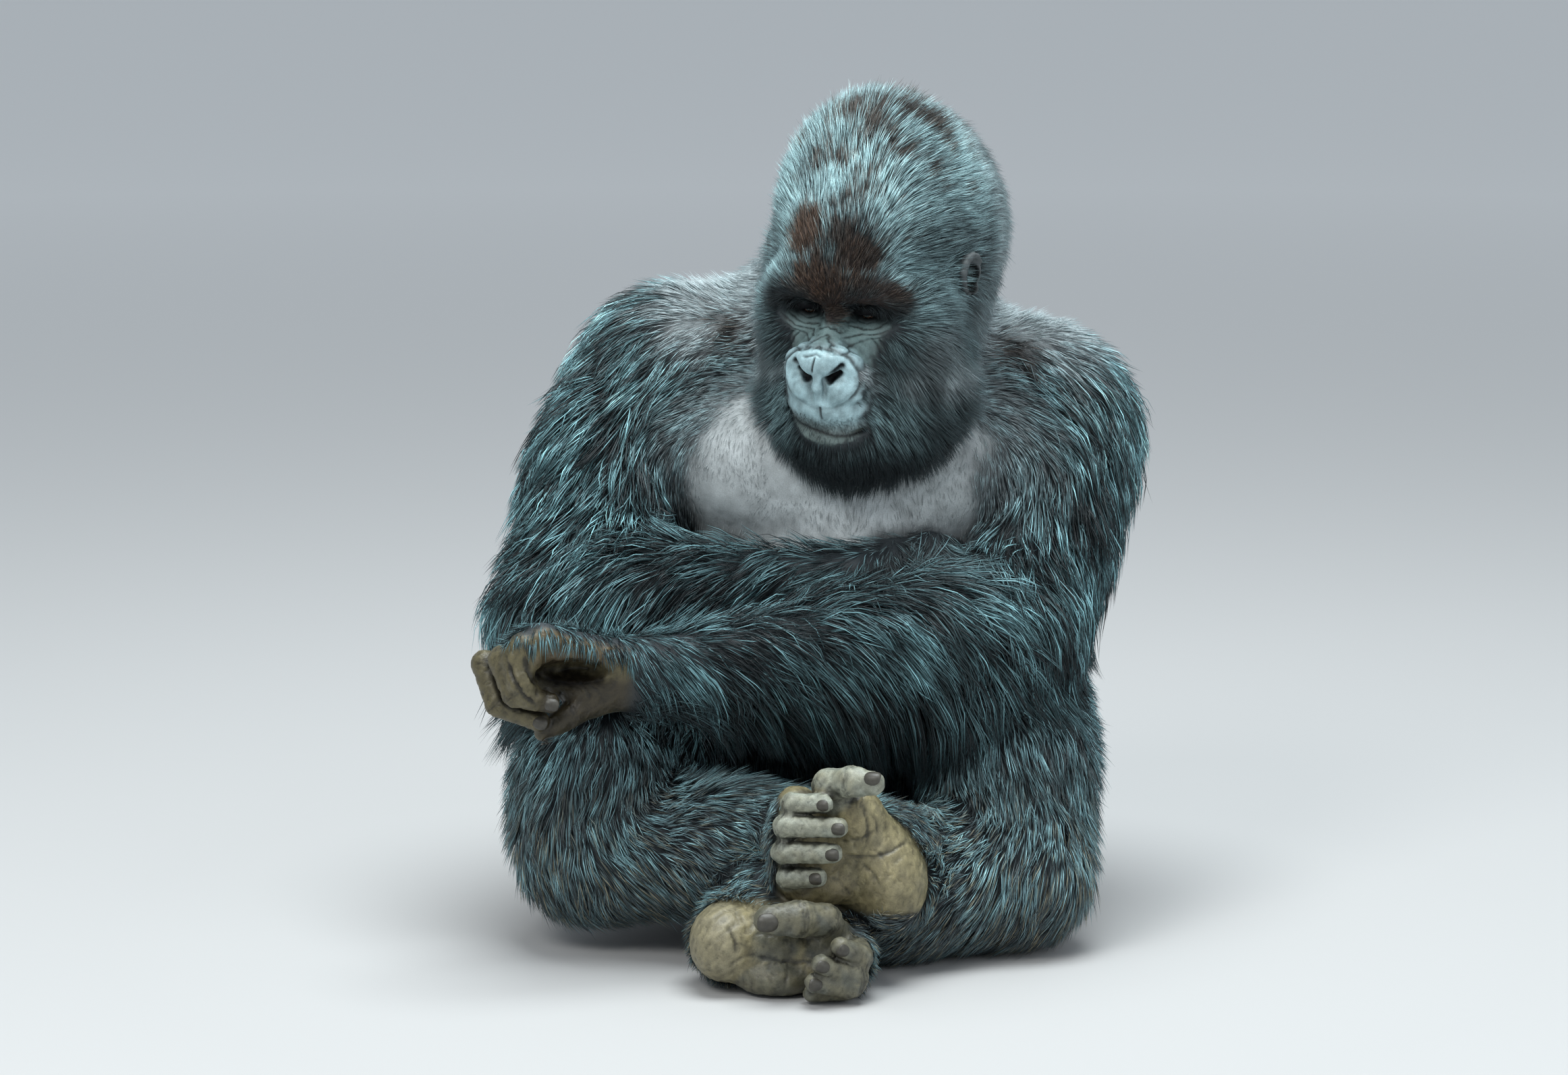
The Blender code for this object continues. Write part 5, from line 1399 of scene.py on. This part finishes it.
def skin_material():
    m, nodes, links, b = principled("skin")
    a = attribute(nodes, "tint")
    co = nodes.new("ShaderNodeTexCoord")
    fine = nodes.new("ShaderNodeTexNoise")
    fine.inputs["Scale"].default_value = 260.0
    fine.inputs["Detail"].default_value = 5.0
    cells = nodes.new("ShaderNodeTexVoronoi")
    cells.feature = "DISTANCE_TO_EDGE"
    cells.inputs["Scale"].default_value = 430.0
    blot = nodes.new("ShaderNodeTexNoise")
    blot.inputs["Scale"].default_value = 60.0
    blot.inputs["Detail"].default_value = 4.0
    for t in (fine, cells, blot):
        links.new(co.outputs["Object"], t.inputs["Vector"])
    vary = nodes.new("ShaderNodeMapRange")
    vary.inputs["From Min"].default_value, vary.inputs["From Max"].default_value = 0.3, 0.7
    vary.inputs["To Min"].default_value, vary.inputs["To Max"].default_value = 0.78, 1.18
    links.new(blot.outputs["Fac"], vary.inputs["Value"])
    crack = nodes.new("ShaderNodeMapRange")
    crack.inputs["From Min"].default_value, crack.inputs["From Max"].default_value = 0.0, 0.12
    crack.inputs["To Min"].default_value, crack.inputs["To Max"].default_value = 0.84, 1.0
    links.new(cells.outputs["Distance"], crack.inputs["Value"])
    # a net of creases on palms and soles, bent by a coarser noise
    warp = nodes.new("ShaderNodeTexNoise")
    warp.inputs["Scale"].default_value = 38.0
    warp.inputs["Detail"].default_value = 3.0
    links.new(co.outputs["Object"], warp.inputs["Vector"])
    shove = nodes.new("ShaderNodeVectorMath")
    shove.operation = "SCALE"
    shove.inputs["Scale"].default_value = 0.030
    links.new(warp.outputs["Color"], shove.inputs[0])
    at = nodes.new("ShaderNodeVectorMath")
    at.operation = "ADD"
    links.new(co.outputs["Object"], at.inputs[0])
    links.new(shove.outputs["Vector"], at.inputs[1])
    net = nodes.new("ShaderNodeTexVoronoi")
    net.feature = "DISTANCE_TO_EDGE"
    net.inputs["Scale"].default_value = 150.0
    links.new(at.outputs["Vector"], net.inputs["Vector"])
    lines = nodes.new("ShaderNodeMapRange")
    lines.inputs["From Min"].default_value, lines.inputs["From Max"].default_value = 0.0, 0.07
    lines.inputs["To Min"].default_value, lines.inputs["To Max"].default_value = 0.13, 0.0
    links.new(net.outputs["Distance"], lines.inputs["Value"])
    sole = attribute(nodes, "sole")
    cut = nodes.new("ShaderNodeMath")
    cut.operation = "MULTIPLY"
    links.new(lines.outputs["Result"], cut.inputs[0])
    links.new(sole.outputs["Fac"], cut.inputs[1])
    keep = nodes.new("ShaderNodeMath")
    keep.operation = "SUBTRACT"
    keep.inputs[0].default_value = 1.0
    links.new(cut.outputs["Value"], keep.inputs[1])
    mul0 = nodes.new("ShaderNodeMath")
    mul0.operation = "MULTIPLY"
    links.new(vary.outputs["Result"], mul0.inputs[0])
    links.new(crack.outputs["Result"], mul0.inputs[1])
    mul = nodes.new("ShaderNodeMath")
    mul.operation = "MULTIPLY"
    links.new(mul0.outputs["Value"], mul.inputs[0])
    links.new(keep.outputs["Value"], mul.inputs[1])
    tint = nodes.new("ShaderNodeVectorMath")
    tint.operation = "SCALE"
    links.new(a.outputs["Color"], tint.inputs[0])
    links.new(mul.outputs["Value"], tint.inputs["Scale"])
    links.new(tint.outputs["Vector"], b.inputs["Base Color"])
    r = attribute(nodes, "rough")
    links.new(r.outputs["Fac"], b.inputs["Roughness"])
    add = nodes.new("ShaderNodeMath")
    add.operation = "ADD"
    links.new(fine.outputs["Fac"], add.inputs[0])
    links.new(crack.outputs["Result"], add.inputs[1])
    add2 = nodes.new("ShaderNodeMath")
    add2.operation = "ADD"
    links.new(add.outputs["Value"], add2.inputs[0])
    links.new(keep.outputs["Value"], add2.inputs[1])
    bump = nodes.new("ShaderNodeBump")
    bump.inputs["Strength"].default_value = 0.35
    bump.inputs["Distance"].default_value = 0.0009
    links.new(add2.outputs["Value"], bump.inputs["Height"])
    links.new(bump.outputs["Normal"], b.inputs["Normal"])
    links.new(attribute(nodes, "gloss").outputs["Fac"], b.inputs["Specular IOR Level"])
    return m


COAT_MAT, SKIN_MAT = coat_material(), skin_material()
skin.data.materials.append(SKIN_MAT)
MOVE = -vec(*MIDDLE)


def shift(me):
    Vv = coords(me) + MOVE
    me.vertices.foreach_set("co", Vv.astype(np.float32).ravel())
    me.update()


shift(skin_mesh)
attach(skin, "root")
FLESH = ["ear_L", "ear_R", "foot_L", "foot_R", "forearm_L", "forearm_R", "hand_L", "hand_R", "head", "lower_leg_L",
         "lower_leg_R", "neck", "thigh_L", "thigh_R", "trunk", "upper_arm_L", "upper_arm_R"]
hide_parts(*FLESH)

# ------------------------------------------------------------------ the coat's pieces
LIMIT = 190000
total = len(triangles(skin_mesh))
for o, batches in sorted(PIECES.items()):
    # cut each owner's tufts into pieces under the limit
    tris = sum(len(v) * len(f) for v, f, *_ in batches)
    parts = max(1, math.ceil(tris / LIMIT))
    for k in range(parts):
        Vs, Fs, Cs, Us = [], [], [], []
        base = 0
        for verts, faces, cols, along, across, uv in batches:
            order = np.argsort(verts[:, 0, 0] if o != 2 else verts[:, 0, 2], kind="stable")
            a, b = len(order) * k // parts, len(order) * (k + 1) // parts
            sel = order[a:b]
            v = verts[sel]
            m, nv = v.shape[:2]
            if m == 0:
                continue
            F = (faces[None] + (np.arange(m) * nv)[:, None, None] + base).reshape(-1, 3)
            patch = np.stack([(across - 0.5) * 0.003, (along - 0.5) * 0.003], 1)
            u = uv[sel][:, None] + patch[None]
            Vs.append(v.reshape(-1, 3))
            Cs.append(cols[sel].reshape(-1, 3))
            Us.append(u.reshape(-1, 2))
            Fs.append(F)
            base += m * nv
        Vp, Fp, Cp, Up = np.concatenate(Vs), np.concatenate(Fs), np.concatenate(Cs), np.concatenate(Us)
        name = NAMES[o] + ("_%d" % (k + 1) if parts > 1 else "")
        me = new_mesh(name, Vp + MOVE, Fp)
        paint(me, "tint", Cp)
        layer = me.uv_layers.new(name="OFBake")
        layer.data.foreach_set("uv", np.clip(Up[Fp.ravel()], 0.0, 1.0).astype(np.float32).ravel())
        me.shade_smooth()
        me.materials.append(COAT_MAT)
        ob = linked(name, me)
        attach(ob, "root")
        total += len(Fp)
        told("%s %d" % (name, len(Fp)))

# ------------------------------------------------------------------ eyes
eye_mat, nodes, links, b = principled("eye")
a = attribute(nodes, "tint")
links.new(a.outputs["Color"], b.inputs["Base Color"])
b.inputs["Roughness"].default_value = 0.08
b.inputs["Coat Weight"].default_value = 1.0
b.inputs["Coat Roughness"].default_value = 0.03
for s, side in ((-1, "R"), (1, "L")):
    bm = bmesh.new()
    bmesh.ops.create_uvsphere(bm, u_segments=40, v_segments=32, radius=1.0)
    me = bpy.data.meshes.new("eyeball_" + side)
    bm.to_mesh(me)
    bm.free()
    X = coords(me)
    r = np.sqrt(X[:, 0] ** 2 + X[:, 1] ** 2)
    ang = np.degrees(np.arctan2(r, X[:, 2]))
    bulge = 1 + 0.05 * (1 - smooth01(ang, 18, 34))
    col = np.tile(vec(0.020, 0.015, 0.012), (len(X), 1))
    col = mix(col, 1 - smooth01(ang, 29, 33), vec(0.028, 0.011, 0.005))
    col = mix(col, 1 - smooth01(ang, 12, 15), vec(0.002, 0.002, 0.002))
    gaze = unit(HA @ vec(1.0, -0.16, 0.0))
    Rg = np.array(Vector(gaze).to_track_quat("Z", "Y").to_matrix())
    X = (X * bulge[:, None] * EYE_RADIUS * 0.985) @ Rg.T + hp(EYE[0], EYE[1], s * EYE[2]) + MOVE
    me.vertices.foreach_set("co", X.astype(np.float32).ravel())
    paint(me, "tint", col)
    me.shade_smooth()
    me.update()
    me.materials.append(eye_mat)
    ob = linked("eyeball_" + side, me)
    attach(ob, "root")
    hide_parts("eye_" + side)

# ------------------------------------------------------------------ nails
nail_mat, nodes, links, b = principled("nail")
co = nodes.new("ShaderNodeTexCoord")
ns = nodes.new("ShaderNodeTexNoise")
ns.inputs["Scale"].default_value = 220.0
ramp = nodes.new("ShaderNodeValToRGB")
ramp.color_ramp.elements[0].color = (0.022, 0.020, 0.016, 1)
ramp.color_ramp.elements[1].color = (0.070, 0.064, 0.050, 1)
links.new(co.outputs["Object"], ns.inputs["Vector"])
links.new(ns.outputs["Fac"], ramp.inputs["Fac"])
links.new(ramp.outputs["Color"], b.inputs["Base Color"])
b.inputs["Roughness"].default_value = 0.45
for g, n_, c, F, r in NAILS:
    bm = bmesh.new()
    bmesh.ops.create_uvsphere(bm, u_segments=28, v_segments=16, radius=1.0)
    name = "nail_%s_%s" % (n_, g[-1])
    me = bpy.data.meshes.new(name + "_plate")
    bm.to_mesh(me)
    bm.free()
    X = coords(me)
    # a plate: blunt at the free edge, curved across, thin
    x, y, z = X.T
    x2 = np.sign(x) * np.abs(x) ** 0.8
    y2 = np.sign(y) * np.abs(y) ** 0.75
    X = np.stack([x2 * r * 0.70, y2 * r * 0.62, z * r * 0.16 - (y2 ** 2) * r * 0.30 - (x2 ** 2) * r * 0.10 + r * 0.30], 1)
    X = X @ F.T + c + MOVE
    me.vertices.foreach_set("co", X.astype(np.float32).ravel())
    me.shade_smooth()
    me.update()
    me.materials.append(nail_mat)
    ob = linked(name + "_plate", me)
    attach(ob, "root")
    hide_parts(name)

# ------------------------------------------------------------------ floor, light, camera
bm = bmesh.new()
bmesh.ops.create_grid(bm, x_segments=1, y_segments=1, size=45.0)
me = bpy.data.meshes.new("floor")
bm.to_mesh(me)
bm.free()
floor = linked("floor", me)
m, nodes, links, b = principled("floor")
co = nodes.new("ShaderNodeTexCoord")
away = nodes.new("ShaderNodeVectorMath")
away.operation = "LENGTH"
links.new(co.outputs["Object"], away.inputs[0])
# painted light: the floor is paler further from the middle, making up for the lamps' fall-off
pale = nodes.new("ShaderNodeMapRange")
pale.inputs["From Min"].default_value, pale.inputs["From Max"].default_value = 0.8, 9.0
pale.inputs["To Min"].default_value, pale.inputs["To Max"].default_value = 0.46, 0.86
links.new(away.outputs["Value"], pale.inputs["Value"])
links.new(pale.outputs["Result"], b.inputs["Base Color"])
b.inputs["Roughness"].default_value = 0.8
me.materials.append(m)

world = bpy.data.worlds.new("studio")
bpy.context.scene.world = world
world.use_nodes = True
world.node_tree.nodes["Background"].inputs["Color"].default_value = (0.80, 0.88, 0.95, 1)
world.node_tree.nodes["Background"].inputs["Strength"].default_value = 0.56


def lamp(name, at, to, size, power, colour):
    d = bpy.data.lights.new(name, "AREA")
    d.shape = "DISK"
    d.size = size
    d.energy = power
    d.color = colour
    o = bpy.data.objects.new(name, d)
    bpy.context.scene.collection.objects.link(o)
    o.location = at
    o.rotation_euler = (Vector(to) - Vector(at)).to_track_quat("-Z", "Y").to_euler()


lamp("top", (0.2, -0.2, 3.4), (0, 0, 0.5), 2.4, 150, (0.93, 0.99, 1.0))
lamp("key", (-1.8, -3.0, 3.2), (0, 0, 0.5), 1.8, 75, (1.0, 0.99, 0.96))
lamp("fill", (2.8, -2.4, 1.6), (0, 0, 0.4), 2.4, 22, (0.93, 0.97, 1.0))

cam = bpy.data.cameras.new("camera")
cam.lens, cam.sensor_width = 122.294, 36.0
camera = bpy.data.objects.new("camera", cam)
bpy.context.scene.collection.objects.link(camera)
camera.location = Vector((-0.040, -5.92613004, 1.35853811)) + Vector(MOVE)
camera.rotation_euler = (math.radians(81.0), 0, 0)
bpy.context.scene.camera = camera
bpy.context.scene.view_settings.view_transform = "Standard"

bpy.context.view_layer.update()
told("triangles in all %d" % total)
